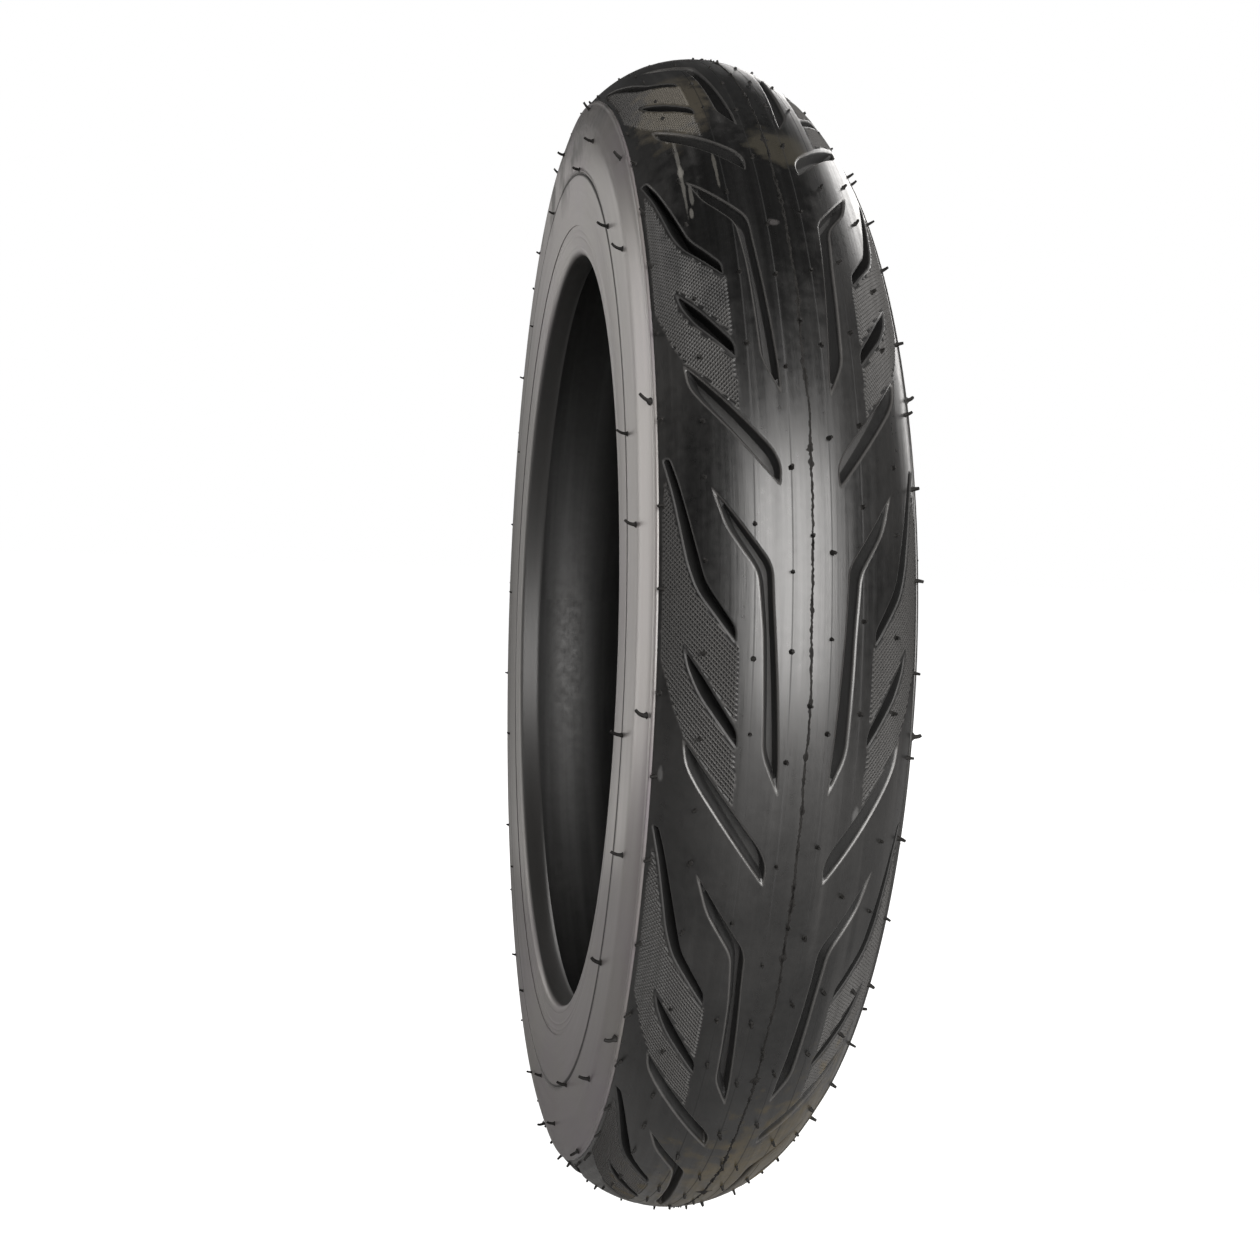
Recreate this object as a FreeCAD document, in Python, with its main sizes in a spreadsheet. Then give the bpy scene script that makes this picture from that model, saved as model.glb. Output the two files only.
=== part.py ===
import FreeCAD, Part

# A 90/90-14 motorcycle tyre, off the rim, as the layers it is built from.
# The wheel axis is +Y through the origin at the tyre's middle, and +Z is up.
# Every ring is a section in the YZ plane turned about Y: "across" is the distance along
# the axle from the middle, and "out" is the distance from the axle.
import math
import os
import Sketcher

SIZES = [
    ("outer_radius", 258.8, "half the overall diameter of a 90/90-14"),
    ("crown_arc", 51.0, "radius of the tread's round section"),
    ("cap_gauge", 7.3, "tread cap thickness"),
    ("groove_depth", 5.0, "tread pattern depth"),
    ("base_gauge", 1.5, "tread base thickness"),
    ("breaker_gauge", 0.6, "one breaker ply"),
    ("ply_gauge", 0.8, "one carcass ply"),
    ("liner_gauge", 1.0, "inner liner"),
    ("shoulder_angle", 51.5, "half angle of the tread about the crown arc's centre"),
    ("outer_breaker_angle", 38.0, "half angle of the outer breaker ply"),
    ("inner_breaker_angle", 42.0, "half angle of the inner breaker ply"),
    ("pitch_count", 14, "repeats of the tread pattern around the tyre"),
    ("upper_side_angle", 75.0, "where the casing turns tighter than the crown arc"),
    ("upper_side_arc", 20.8, "radius of the casing's upper side"),
    ("side_lean", 25.0, "lean of the casing's lower side"),
    ("widest_half", 44.2, "half the tyre's greatest width"),
    ("widest_out", 227.2, "where the sidewall is widest"),
    ("shoulder_arc", 19.8, "radius of the sidewall from the shoulder to the widest point"),
    ("side_arc", 314.0, "radius of the sidewall below the widest point"),
    ("seat_radius", 177.4, "bead seat of a 14 inch rim"),
    ("seat_length", 8.0, "width of the bead's cylindrical land"),
    ("heel_across", 38.0, "outer end of the land"),
    ("heel_arc", 3.2, "rounding of the heel"),
    ("toe_across", 27.8, "tip of the toe"),
    ("toe_rise", 0.8, "how far the toe's tip stands above the land"),
    ("strip_gauge", 0.9, "rim strip under the bead"),
    ("strip_top", 190.0, "upper edge of the rim strip outside"),
    ("chafer_gauge", 0.6, "chafer fabric"),
    ("chafer_top", 192.0, "upper edge of the chafer outside"),
    ("wrap_gauge", 0.5, "fabric round the bead"),
    ("bead_across", 34.5, "middle of the bead bundle"),
    ("wire_pitch", 1.2, "spacing of the bead wires"),
    ("wire_diameter", 0.96, "bead wire"),
    ("outer_turnup", 199.0, "upper edge of the outer ply's turn-up"),
    ("inner_turnup", 202.0, "upper edge of the inner ply's turn-up"),
    ("flash_width", 0.6, "mould parting line on the crown, at its foot"),
    ("flash_tip", 0.2, "mould parting line on the crown, at its top"),
    ("flash_height", 0.35, "mould parting line on the crown"),
    ("spew_diameter", 1.2, "vent spew on the tread"),
    ("spew_length", 3.2, "vent spew on the tread"),
    ("side_spew_diameter", 1.4, "vent spew on the sidewall"),
    ("side_spew_bend", 5.0, "radius that a sidewall spew curls to"),
    ("side_spew_turn", 65.0, "angle that a sidewall spew curls through"),
    ("cutter_reach", 285.0, "length of the grooves' cutter, from the axle to past the crown"),
]
WIRES_PER_ROW = 4
SIDES = ("left", "right")
# The least share of the grooved ring that one pitch of grooves has to take away.
LEAST_CUT = 0.001

# Half of one pitch of the tread pattern: outlines as (across, along) in millimetres, with
# along measured round the crown. The other half is its mirror image.
GROOVES = {
    "main": [
        (27.5, 66.0), (24.9, 56.0), (15.1, 38.3), (13.9, 28.5), (13.2, -6.0),
        (7.6, -21.7), (8.9, 3.0), (10.8, 33.5), (12.4, 45.0), (21.1, 57.2),
    ],
    "shoulder": [
        (39.9, 77.5), (35.2, 56.0), (32.4, 39.5), (30.0, 34.0), (21.4, 21.3),
        (21.2, 25.0), (24.3, 32.2), (29.8, 42.0), (35.4, 70.0), (37.0, 77.5),
    ],
    "short_slash": [(33.6, 18.0), (33.0, 11.6), (19.7, -9.2), (19.7, -5.0), (28.9, 10.0)],
    "long_slash": [
        (33.2, -8.5), (32.6, -15.0), (26.5, -26.8), (9.0, -50.0), (8.7, -43.8),
        (15.6, -32.2), (27.0, -18.0), (31.3, -11.3),
    ],
}
# The pattern's middle, as a distance along the crown from the outlines' own zero.
PATTERN_MIDDLE = 13.0
# Rows of tread spews: across, spews in one pitch, and the share of a pitch that the first is at.
TREAD_SPEWS = [(0.0, 2, 0.2), (5.8, 4, 0.1), (16.2, 5, 0.05), (28.8, 5, 0.05), (39.0, 3, 0.1)]
# Rows of sidewall spews: out, and the share of a pitch that each is at.
SIDE_SPEWS = [(237.0, 0.0), (227.0, 0.5), (213.0, 0.0)]

doc = FreeCAD.newDocument("MotorcycleTyre")
sheet = doc.addObject("Spreadsheet::Sheet", "Sizes")
for row, (alias, number, note) in enumerate(SIZES, start=1):
    sheet.set(f"A{row}", note)
    sheet.set(f"B{row}", str(number))
    sheet.setAlias(f"B{row}", alias)
doc.recompute()


def value(expression):
    """The number that a spreadsheet expression gives."""
    answer = sheet.evalExpression(expression)
    return float(getattr(answer, "Value", answer))


# ---- the lines that the layers share, as expressions of the sheet's cells ----

CROWN_OUT = "(Sizes.outer_radius - Sizes.crown_arc)"
CAP_TOP = "Sizes.crown_arc"
GROOVE_FLOOR = "(Sizes.crown_arc - Sizes.groove_depth)"
CAP_BOTTOM = "(Sizes.crown_arc - Sizes.cap_gauge)"
BASE_BOTTOM = f"({CAP_BOTTOM} - Sizes.base_gauge)"
BREAKER_JOIN = f"({BASE_BOTTOM} - Sizes.breaker_gauge)"
CASING = f"({BREAKER_JOIN} - Sizes.breaker_gauge)"
BUNDLE_HALF = f"(Sizes.wire_pitch * {WIRES_PER_ROW} / 2)"
BUNDLE_INSIDE = f"(Sizes.bead_across - {BUNDLE_HALF})"
BUNDLE_OUTSIDE = f"(Sizes.bead_across + {BUNDLE_HALF})"
CHAFER_BASE = "(Sizes.seat_radius + Sizes.strip_gauge)"
BUNDLE_BASE = f"({CHAFER_BASE} + Sizes.chafer_gauge + 2 * Sizes.ply_gauge + Sizes.wrap_gauge)"
BUNDLE_TOP = f"({BUNDLE_BASE} + 2 * {BUNDLE_HALF})"
WRAP_TOP = f"({BUNDLE_TOP} + Sizes.wrap_gauge)"
BUNDLE = [
    (BUNDLE_INSIDE, BUNDLE_BASE),
    (BUNDLE_OUTSIDE, BUNDLE_BASE),
    (BUNDLE_OUTSIDE, BUNDLE_TOP),
    (BUNDLE_INSIDE, BUNDLE_TOP),
]
SIDE_CENTRE = "(Sizes.widest_half - Sizes.side_arc)"

# A layer's depth is its distance inwards from the casing's outer face, which is the wrap's
# outer face at the bead.
OUTER_PLY = "0"
INNER_PLY = "Sizes.ply_gauge"
CASING_INSIDE = "(2 * Sizes.ply_gauge)"
CHAFER_OUTSIDE = f"({CASING_INSIDE} + Sizes.chafer_gauge)"
LINER_INSIDE = f"({CASING_INSIDE} + Sizes.liner_gauge)"


class Arc:
    """The edge to the next corner is round: its centre is on the left (+1) or the right (-1)."""

    def __init__(self, radius, side):
        self.radius = radius
        self.side = side


def polar(radius, angle):
    """The corner at an angle on an arc about the crown arc's centre."""
    turn = f"(Sizes.{angle} * 1deg)"
    return f"({radius}) * sin({turn})", f"{CROWN_OUT} + ({radius}) * cos({turn})"


def backwards(run):
    """The same run of corners and arcs, from its other end."""
    return [Arc(e.radius, -e.side) if isinstance(e, Arc) else e for e in reversed(run)]


def other_half(run):
    """The run's mirror image across the tyre's middle, from its other end."""
    return [e if isinstance(e, Arc) else (f"-({e[0]})", e[1]) for e in reversed(run)]


def upper_side(depth):
    """The casing's face at a depth, from the crown arc's end to where the side is straight."""
    top = "(Sizes.upper_side_angle * 1deg)"
    arc = f"(Sizes.upper_side_arc - ({depth}))"
    step = f"({CASING} - Sizes.upper_side_arc)"
    lean = "(Sizes.side_lean * 1deg)"
    return [
        polar(f"{CASING} - ({depth})", "upper_side_angle"),
        Arc(arc, -1),
        (
            f"{step} * sin({top}) + {arc} * cos({lean})",
            f"{CROWN_OUT} + {step} * cos({top}) - {arc} * sin({lean})",
        ),
    ]


SIDE_FOOT_ACROSS, SIDE_FOOT_OUT = upper_side(OUTER_PLY)[2]
WRAP_INSIDE = f"({BUNDLE_INSIDE} - Sizes.wrap_gauge)"
FOOT_DROP = f"(({SIDE_FOOT_OUT}) - {WRAP_TOP})"
FOOT_SHIFT = f"(({SIDE_FOOT_ACROSS}) - {WRAP_INSIDE})"
LEAN = "(Sizes.side_lean * 1deg)"
FOOT_ARC = f"(({FOOT_DROP} * sin({LEAN}) - {FOOT_SHIFT} * cos({LEAN})) / (1 - cos({LEAN})))"


def lower_side(depth):
    """The casing's face at a depth, from the straight side to upright beside the bead."""
    arc = f"({FOOT_ARC} + ({depth}))"
    centre = f"({WRAP_INSIDE} + {FOOT_ARC})"
    return [
        (f"{centre} - {arc} * cos({LEAN})", f"{WRAP_TOP} + {arc} * sin({LEAN})"),
        Arc(arc, +1),
        (f"{WRAP_INSIDE} - ({depth})", WRAP_TOP),
    ]


def round_bead(depth):
    """The face at a depth under the bead, from its inner side to its outer side."""
    corner = f"(Sizes.wrap_gauge + ({depth}))"
    return [
        (f"{BUNDLE_INSIDE} - {corner}", BUNDLE_BASE),
        Arc(corner, +1),
        (BUNDLE_INSIDE, f"{BUNDLE_BASE} - {corner}"),
        (BUNDLE_OUTSIDE, f"{BUNDLE_BASE} - {corner}"),
        Arc(corner, +1),
        (f"{BUNDLE_OUTSIDE} + {corner}", BUNDLE_BASE),
    ]


def outside_bead(depth, out):
    """The corner at a height on the face that turns up outside the bead."""
    return f"{BUNDLE_OUTSIDE} + Sizes.wrap_gauge + ({depth})", out


def on_straight_side(out):
    """The corner at a height on the casing's straight outer face."""
    return f"({SIDE_FOOT_ACROSS}) - (({SIDE_FOOT_OUT}) - {out}) * tan({LEAN})", out


def on_sidewall(out):
    """The corner at a height on the sidewall's outer face, below the widest point."""
    reach = f"sqrt(Sizes.side_arc * Sizes.side_arc - (Sizes.widest_out - {out}) ^ 2)"
    return f"{SIDE_CENTRE} + {reach}", out


# ---- sketches ----


def place(corner):
    return FreeCAD.Vector(value(corner[0]), value(corner[1]), 0)


def middle_of_arc(start, end, arc):
    radius = value(arc.radius)
    chord = end - start
    left = FreeCAD.Vector(-chord.y, chord.x, 0).normalize()
    half = chord.Length / 2
    to_centre = math.sqrt(max(radius**2 - half**2, 0.0))
    return (start + end) * 0.5 - left * (arc.side * (radius - to_centre))


def draw(sketch, outline):
    """Adds a closed outline of corners and arcs, with each size bound to the sheet."""
    corners = [e for e in outline if not isinstance(e, Arc)]
    arcs = {}
    for before, here in zip(outline, outline[1:] + outline[:1]):
        if isinstance(here, Arc):
            arcs[corners.index(before)] = here
    edges, rules, sizes = [], [], []
    for i, corner in enumerate(corners):
        start, end = place(corner), place(corners[(i + 1) % len(corners)])
        if i in arcs:
            edge = sketch.addGeometry(Part.Arc(start, middle_of_arc(start, end, arcs[i]), end), False)
            rules.append(Sketcher.Constraint("Radius", edge, value(arcs[i].radius)))
            sizes.append(arcs[i].radius)
        else:
            edge = sketch.addGeometry(Part.LineSegment(start, end), False)
            rules.append(None)
            sizes.append(None)
        first = 1 if sketch.getPoint(edge, 1).isEqual(start, 1e-6) else 2
        edges.append((edge, first, 3 - first))
    rules, sizes = [r for r in rules if r], [s for s in sizes if s]
    for i, (edge, first, _) in enumerate(edges):
        for kind, expression in zip(("DistanceX", "DistanceY"), corners[i]):
            rules.append(Sketcher.Constraint(kind, -1, 1, edge, first, value(expression)))
            sizes.append(expression)
    start_of_joins = len(rules)
    for i, (edge, _, last) in enumerate(edges):
        following, first, _ = edges[(i + 1) % len(edges)]
        rules.append(Sketcher.Constraint("Coincident", edge, last, following, first))
    added = sketch.addConstraint(rules)
    for number, expression in zip(added[:start_of_joins], sizes):
        sketch.setExpression(f"Constraints[{number}]", expression)


def origin_of(body, role):
    return next(f for f in body.Origin.OriginFeatures if f.Role == role)


def new_sketch(body, name):
    sketch = body.newObject("Sketcher::SketchObject", name)
    sketch.AttachmentSupport = [(origin_of(body, "YZ_Plane"), "")]
    sketch.MapMode = "FlatFace"
    return sketch


def turn(body, outlines, name):
    """A ring: the outlines, any after the first being holes, turned about the wheel axis."""
    sketch = new_sketch(body, f"{name}_section")
    for outline in outlines:
        draw(sketch, outline)
    ring = body.newObject("PartDesign::Revolution", f"{name}_ring")
    ring.Profile = sketch
    ring.ReferenceAxis = (origin_of(body, "Y_Axis"), [""])
    ring.Angle = 360
    return ring


# The left side is the right side turned half a turn about the vertical, towards -Y.
HALF_TURN = FreeCAD.Placement(FreeCAD.Vector(), FreeCAD.Rotation(FreeCAD.Vector(0, 0, 1), 180))
PLACES = {"left": HALF_TURN, "right": FreeCAD.Placement()}
pieces = []


def keep(piece, label, side=None):
    """Labels a finished piece and puts a side's piece on its own side."""
    piece.Label = label
    if side:
        piece.Placement = PLACES[side]
    pieces.append(piece)


def ring_piece(label, outlines, side=None):
    body = doc.addObject("PartDesign::Body", label)
    turn(body, outlines, label)
    keep(body, label, side)


def crown_layer(top, bottom, angle):
    """The outline of a layer between two radii about the crown arc's centre."""
    half = [polar(top, angle), polar(bottom, angle)]
    return half + [Arc(bottom, +1)] + other_half(half) + [Arc(top, -1)]


# ---- the tread ----


def flat(across, along):
    """A pattern corner in the sketch plane: along becomes the height of that point of the crown."""
    drop = value(CAP_TOP) - math.sqrt(value(CAP_TOP) ** 2 - across**2)
    angle = (along - PATTERN_MIDDLE) / value("Sizes.outer_radius")
    return FreeCAD.Vector(across, (value("Sizes.outer_radius") - drop) * math.sin(angle), 0)


def make_tread_cap():
    """The cap: a grooved ring over a plain one, so that each groove's floor follows the crown."""
    body = doc.addObject("PartDesign::Body", "tread_cap")
    grooved = turn(body, [crown_layer(CAP_TOP, GROOVE_FLOOR, "shoulder_angle")], "grooved")
    doc.recompute()
    whole = grooved.Shape.Volume
    pattern = new_sketch(body, "pitch_pattern")
    for outline in GROOVES.values():
        for hand in (1, -1):
            spots = [flat(across, along) for across, along in outline]
            spots = [FreeCAD.Vector(hand * spot.x, spot.y, 0) for spot in spots]
            for start, end in zip(spots, spots[1:] + spots[:1]):
                pattern.addGeometry(Part.LineSegment(start, end), False)
    cut = body.newObject("PartDesign::Pocket", "pitch_grooves")
    cut.Profile = pattern
    cut.Type = 0
    cut.setExpression("Length", "Sizes.cutter_reach")
    cut.Reversed = True
    doc.recompute()
    if cut.Shape.Volume > whole * (1 - LEAST_CUT):
        raise RuntimeError("the tread grooves cut nothing")
    around = body.newObject("PartDesign::PolarPattern", "pattern_around")
    around.Originals = [cut]
    around.Axis = (origin_of(body, "Y_Axis"), [""])
    around.Angle = 360
    around.setExpression("Occurrences", "Sizes.pitch_count")
    body.Tip = around
    turn(body, [crown_layer(GROOVE_FLOOR, CAP_BOTTOM, "shoulder_angle")], "floor")
    keep(body, "tread_cap")
    phase = math.degrees(PATTERN_MIDDLE / value("Sizes.outer_radius"))
    body.Placement = FreeCAD.Placement(FreeCAD.Vector(), FreeCAD.Rotation(FreeCAD.Vector(0, 1, 0), -phase))


def make_edge_strips():
    """The gum strip that fills the step at the breaker plies' edges."""
    outline = [
        polar(CASING, "inner_breaker_angle"),
        polar(BREAKER_JOIN, "inner_breaker_angle"),
        Arc(BREAKER_JOIN, +1),
        polar(BREAKER_JOIN, "outer_breaker_angle"),
        polar(BASE_BOTTOM, "outer_breaker_angle"),
        Arc(BASE_BOTTOM, -1),
        polar(BASE_BOTTOM, "shoulder_angle"),
        polar(CASING, "shoulder_angle"),
        Arc(CASING, +1),
    ]
    for side in SIDES:
        ring_piece(f"breaker_edge_strip_{side}", [outline], side)


def make_flash():
    """The thin line that the two mould halves leave round the crown."""
    edge = ("Sizes.flash_width / 2", f"{CROWN_OUT} + sqrt(Sizes.crown_arc ^ 2 - (Sizes.flash_width / 2) ^ 2)")
    top = ("Sizes.flash_tip / 2", "Sizes.outer_radius + Sizes.flash_height")
    half = [top, edge]
    ring_piece("parting_line_flash", [half + [Arc(CAP_TOP, +1)] + other_half(half)])


# ---- the casing ----


def make_ply(label, depth, under, turnup):
    """A carcass ply: bead to bead, round each bead and up its outer side."""

    def face(level):
        return upper_side(level) + lower_side(level) + round_bead(level) + [outside_bead(level, turnup)]

    half = face(depth) + backwards(face(under))
    crown_inside = Arc(f"{CASING} - ({under})", +1)
    crown_outside = Arc(f"{CASING} - ({depth})", -1)
    ring_piece(label, [half + [crown_inside] + other_half(half) + [crown_outside]])


def make_liner():
    """The air-tight inner liner, which ends beside each bead."""
    half = upper_side(CASING_INSIDE) + lower_side(CASING_INSIDE)
    half += backwards(upper_side(LINER_INSIDE) + lower_side(LINER_INSIDE))
    crown_inside = Arc(f"{CASING} - {LINER_INSIDE}", +1)
    crown_outside = Arc(f"{CASING} - {CASING_INSIDE}", -1)
    ring_piece("inner_liner", [half + [crown_inside] + other_half(half) + [crown_outside]])


def make_sidewalls():
    """The outer side rubber, from the tread's edge to the rim strip."""
    outline = [
        polar(CAP_TOP, "shoulder_angle"),
        Arc("Sizes.shoulder_arc", -1),
        ("Sizes.widest_half", "Sizes.widest_out"),
        Arc("Sizes.side_arc", -1),
        on_sidewall("Sizes.strip_top"),
        outside_bead(CHAFER_OUTSIDE, "Sizes.strip_top"),
        outside_bead(CHAFER_OUTSIDE, "Sizes.chafer_top"),
        outside_bead(CASING_INSIDE, "Sizes.chafer_top"),
        outside_bead(CASING_INSIDE, "Sizes.inner_turnup"),
        on_straight_side("Sizes.inner_turnup"),
    ]
    outline += backwards(upper_side(OUTER_PLY)) + [Arc(CASING, +1), polar(CASING, "shoulder_angle")]
    for side in SIDES:
        ring_piece(f"sidewall_{side}", [outline], side)


# ---- the beads ----


def make_wires(side):
    """The bead's coil of steel wire, as one hoop per turn."""
    hoops = []
    for row in range(WIRES_PER_ROW):
        for column in range(WIRES_PER_ROW):
            hoop = doc.addObject("Part::Torus", f"wire_{side}_{row}_{column}")
            hoop.setExpression("Radius1", f"{BUNDLE_BASE} + Sizes.wire_pitch * {row + 0.5}")
            hoop.setExpression("Radius2", "Sizes.wire_diameter / 2")
            hoop.Placement.Rotation = FreeCAD.Rotation(FreeCAD.Vector(1, 0, 0), -90)
            across = f"{BUNDLE_INSIDE} + Sizes.wire_pitch * {column + 0.5}"
            hoop.setExpression("Placement.Base.y", across)
            hoops.append(hoop)
    coil = doc.addObject("Part::Compound", f"bead_wires_{side}")
    coil.Links = hoops
    keep(coil, f"bead_wires_{side}", side)


def make_insulation(side):
    """The rubber that the bead's wires are bedded in."""
    label = f"bead_insulation_{side}"
    body = doc.addObject("PartDesign::Body", label)
    ring = turn(body, [BUNDLE], label)
    for row in range(WIRES_PER_ROW):
        for column in range(WIRES_PER_ROW):
            spot = (
                f"{BUNDLE_INSIDE} + Sizes.wire_pitch * {column + 0.5}",
                f"{BUNDLE_BASE} + Sizes.wire_pitch * {row + 0.5}",
            )
            hole = Part.Circle(place(spot), FreeCAD.Vector(0, 0, 1), value("Sizes.wire_diameter / 2"))
            edge = ring.Profile[0].addGeometry(hole, False)
            rules = [
                Sketcher.Constraint("Radius", edge, hole.Radius),
                Sketcher.Constraint("DistanceX", -1, 1, edge, 3, hole.Center.x),
                Sketcher.Constraint("DistanceY", -1, 1, edge, 3, hole.Center.y),
            ]
            added = ring.Profile[0].addConstraint(rules)
            for number, expression in zip(added, ("Sizes.wire_diameter / 2", *spot)):
                ring.Profile[0].setExpression(f"Constraints[{number}]", expression)
    keep(body, label, side)


def make_beads():
    """Everything in one bead, from the wires out."""
    wrap = round_bead(OUTER_PLY) + [outside_bead(OUTER_PLY, WRAP_TOP), (WRAP_INSIDE, WRAP_TOP)]
    filler = lower_side(OUTER_PLY) + [
        outside_bead(OUTER_PLY, WRAP_TOP),
        outside_bead(OUTER_PLY, "Sizes.outer_turnup"),
        outside_bead(INNER_PLY, "Sizes.outer_turnup"),
        outside_bead(INNER_PLY, "Sizes.inner_turnup"),
        on_straight_side("Sizes.inner_turnup"),
    ]
    chafer = [(f"{WRAP_INSIDE} - {CASING_INSIDE}", WRAP_TOP)]
    chafer += round_bead(CASING_INSIDE) + [outside_bead(CASING_INSIDE, "Sizes.chafer_top")]
    chafer += [outside_bead(CHAFER_OUTSIDE, "Sizes.chafer_top")] + backwards(round_bead(CHAFER_OUTSIDE))
    chafer += [(f"{WRAP_INSIDE} - {CHAFER_OUTSIDE}", WRAP_TOP)]
    heel_top = "(Sizes.seat_radius + Sizes.heel_arc)"
    strip = [(f"{WRAP_INSIDE} - {CHAFER_OUTSIDE}", WRAP_TOP)] + round_bead(CHAFER_OUTSIDE)
    strip += [
        outside_bead(CHAFER_OUTSIDE, "Sizes.strip_top"),
        on_sidewall("Sizes.strip_top"),
        Arc("Sizes.side_arc", -1),
        on_sidewall(heel_top),
        Arc("Sizes.heel_arc", -1),
        ("Sizes.heel_across", "Sizes.seat_radius"),
        ("Sizes.heel_across - Sizes.seat_length", "Sizes.seat_radius"),
        ("Sizes.toe_across", "Sizes.seat_radius + Sizes.toe_rise"),
        (f"{WRAP_INSIDE} - {LINER_INSIDE}", WRAP_TOP),
    ]
    for side in SIDES:
        make_wires(side)
        make_insulation(side)
        ring_piece(f"bead_wrap_{side}", [wrap, BUNDLE], side)
        ring_piece(f"bead_filler_{side}", [filler], side)
        ring_piece(f"chafer_{side}", [chafer], side)
        ring_piece(f"rim_strip_{side}", [strip], side)


# ---- the vent spews: hairs of rubber that the mould's air vents leave ----


def around_axle(radius, across, angle):
    """The point at a distance from the axle, an angle round it from +X towards +Z."""
    return FreeCAD.Vector(radius * math.cos(angle), across, radius * math.sin(angle))


def spew_group(label, solids):
    group = doc.addObject("Part::Feature", label)
    group.Shape = Part.makeCompound(solids)
    keep(group, label)


def make_tread_spews():
    radius = value("Sizes.spew_diameter / 2")
    length = value("Sizes.spew_length")
    crown_arc, crown_out = value(CAP_TOP), value(CROWN_OUT)
    pitch = 2 * math.pi / value("Sizes.pitch_count")
    solids = []
    for across, in_pitch, first in TREAD_SPEWS:
        lean = math.asin(across / crown_arc)
        for hand in (1, -1) if across else (1,):
            for number in range(in_pitch * int(value("Sizes.pitch_count"))):
                angle = pitch * (first + number / in_pitch)
                foot = around_axle(crown_out + crown_arc * math.cos(lean), hand * across, angle)
                way = around_axle(math.cos(lean), hand * math.sin(lean), angle)
                solids.append(Part.makeCylinder(radius, length, foot, way))
    spew_group("tread_vent_spews", solids)


def make_side_spews(side):
    """Spews that leave the sidewall square and curl round towards the way they are turned."""
    radius = value("Sizes.side_spew_diameter / 2")
    bend = value("Sizes.side_spew_bend")
    hand = 1 if side == "right" else -1
    pitch = 360 / value("Sizes.pitch_count")
    solids = []
    for out, share in SIDE_SPEWS:
        if out > value("Sizes.widest_out"):
            centre = value("Sizes.widest_half - Sizes.shoulder_arc")
            above = out - value("Sizes.widest_out")
            across = centre + math.sqrt(value("Sizes.shoulder_arc") ** 2 - above**2)
        else:
            across = value(on_sidewall(str(out))[0])
        foot = FreeCAD.Vector(out, hand * across, 0)
        round_foot = Part.Face(Part.Wire(Part.makeCircle(radius, foot, FreeCAD.Vector(0, hand, 0))))
        hinge = foot + FreeCAD.Vector(0, 0, bend)
        spew = round_foot.revolve(hinge, FreeCAD.Vector(hand, 0, 0), value("Sizes.side_spew_turn"))
        for number in range(int(value("Sizes.pitch_count"))):
            turned = spew.copy()
            turned.rotate(FreeCAD.Vector(), FreeCAD.Vector(0, -1, 0), pitch * (number + share))
            solids.append(turned)
    spew_group(f"sidewall_vent_spews_{side}", solids)


make_tread_cap()
ring_piece("tread_base", [crown_layer(CAP_BOTTOM, BASE_BOTTOM, "shoulder_angle")])
ring_piece("breaker_ply_outer", [crown_layer(BASE_BOTTOM, BREAKER_JOIN, "outer_breaker_angle")])
ring_piece("breaker_ply_inner", [crown_layer(BREAKER_JOIN, CASING, "inner_breaker_angle")])
make_edge_strips()
make_flash()
make_ply("carcass_ply_outer", OUTER_PLY, INNER_PLY, "Sizes.outer_turnup")
make_ply("carcass_ply_inner", INNER_PLY, CASING_INSIDE, "Sizes.inner_turnup")
make_liner()
make_sidewalls()
make_beads()
make_tread_spews()
for side in SIDES:
    make_side_spews(side)
doc.recompute()

for thing in doc.Objects:
    if "Invalid" in thing.State or "Error" in thing.State:
        raise RuntimeError(f"{thing.Label} failed: {thing.State}")
for piece in pieces:
    if piece.Shape.isNull() or not piece.Shape.isValid() or piece.Shape.Volume <= 0:
        raise RuntimeError(f"{piece.Label} has no valid shape")

os.makedirs("parts", exist_ok=True)
for piece in pieces:
    piece.Shape.exportStep(f"parts/{piece.Label}.step")
    print(f"{piece.Label}: {len(piece.Shape.Solids)} solids, {piece.Shape.Volume / 1000:.1f} cm3")
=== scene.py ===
import itertools
import math

import bpy
import numpy as np
from mathutils import Matrix, Vector
from mathutils.geometry import delaunay_2d_cdt


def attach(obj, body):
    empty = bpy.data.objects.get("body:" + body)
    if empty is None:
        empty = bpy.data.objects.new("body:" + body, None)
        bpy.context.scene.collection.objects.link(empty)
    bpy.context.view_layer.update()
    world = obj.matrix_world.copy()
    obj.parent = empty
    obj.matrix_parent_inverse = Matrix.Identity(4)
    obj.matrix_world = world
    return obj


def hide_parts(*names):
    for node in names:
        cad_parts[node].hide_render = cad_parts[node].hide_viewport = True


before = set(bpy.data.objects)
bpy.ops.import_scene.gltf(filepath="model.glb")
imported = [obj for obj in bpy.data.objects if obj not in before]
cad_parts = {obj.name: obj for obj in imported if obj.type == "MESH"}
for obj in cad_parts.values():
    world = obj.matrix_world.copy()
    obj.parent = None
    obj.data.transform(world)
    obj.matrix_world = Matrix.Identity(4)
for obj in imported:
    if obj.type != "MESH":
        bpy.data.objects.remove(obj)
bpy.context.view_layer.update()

# A bare motorcycle tyre. The axle is Y, "across" is the distance along it from the tyre's middle,
# "out" is the distance from it, and "around" is the angle about it from +X towards +Z.
# Sizes are in millimetres until a mesh is made; materials, camera, floor and lights are in metres.
MM = 0.001
SIDES = {"left": -1, "right": 1}
random = np.random.default_rng(14)

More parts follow.
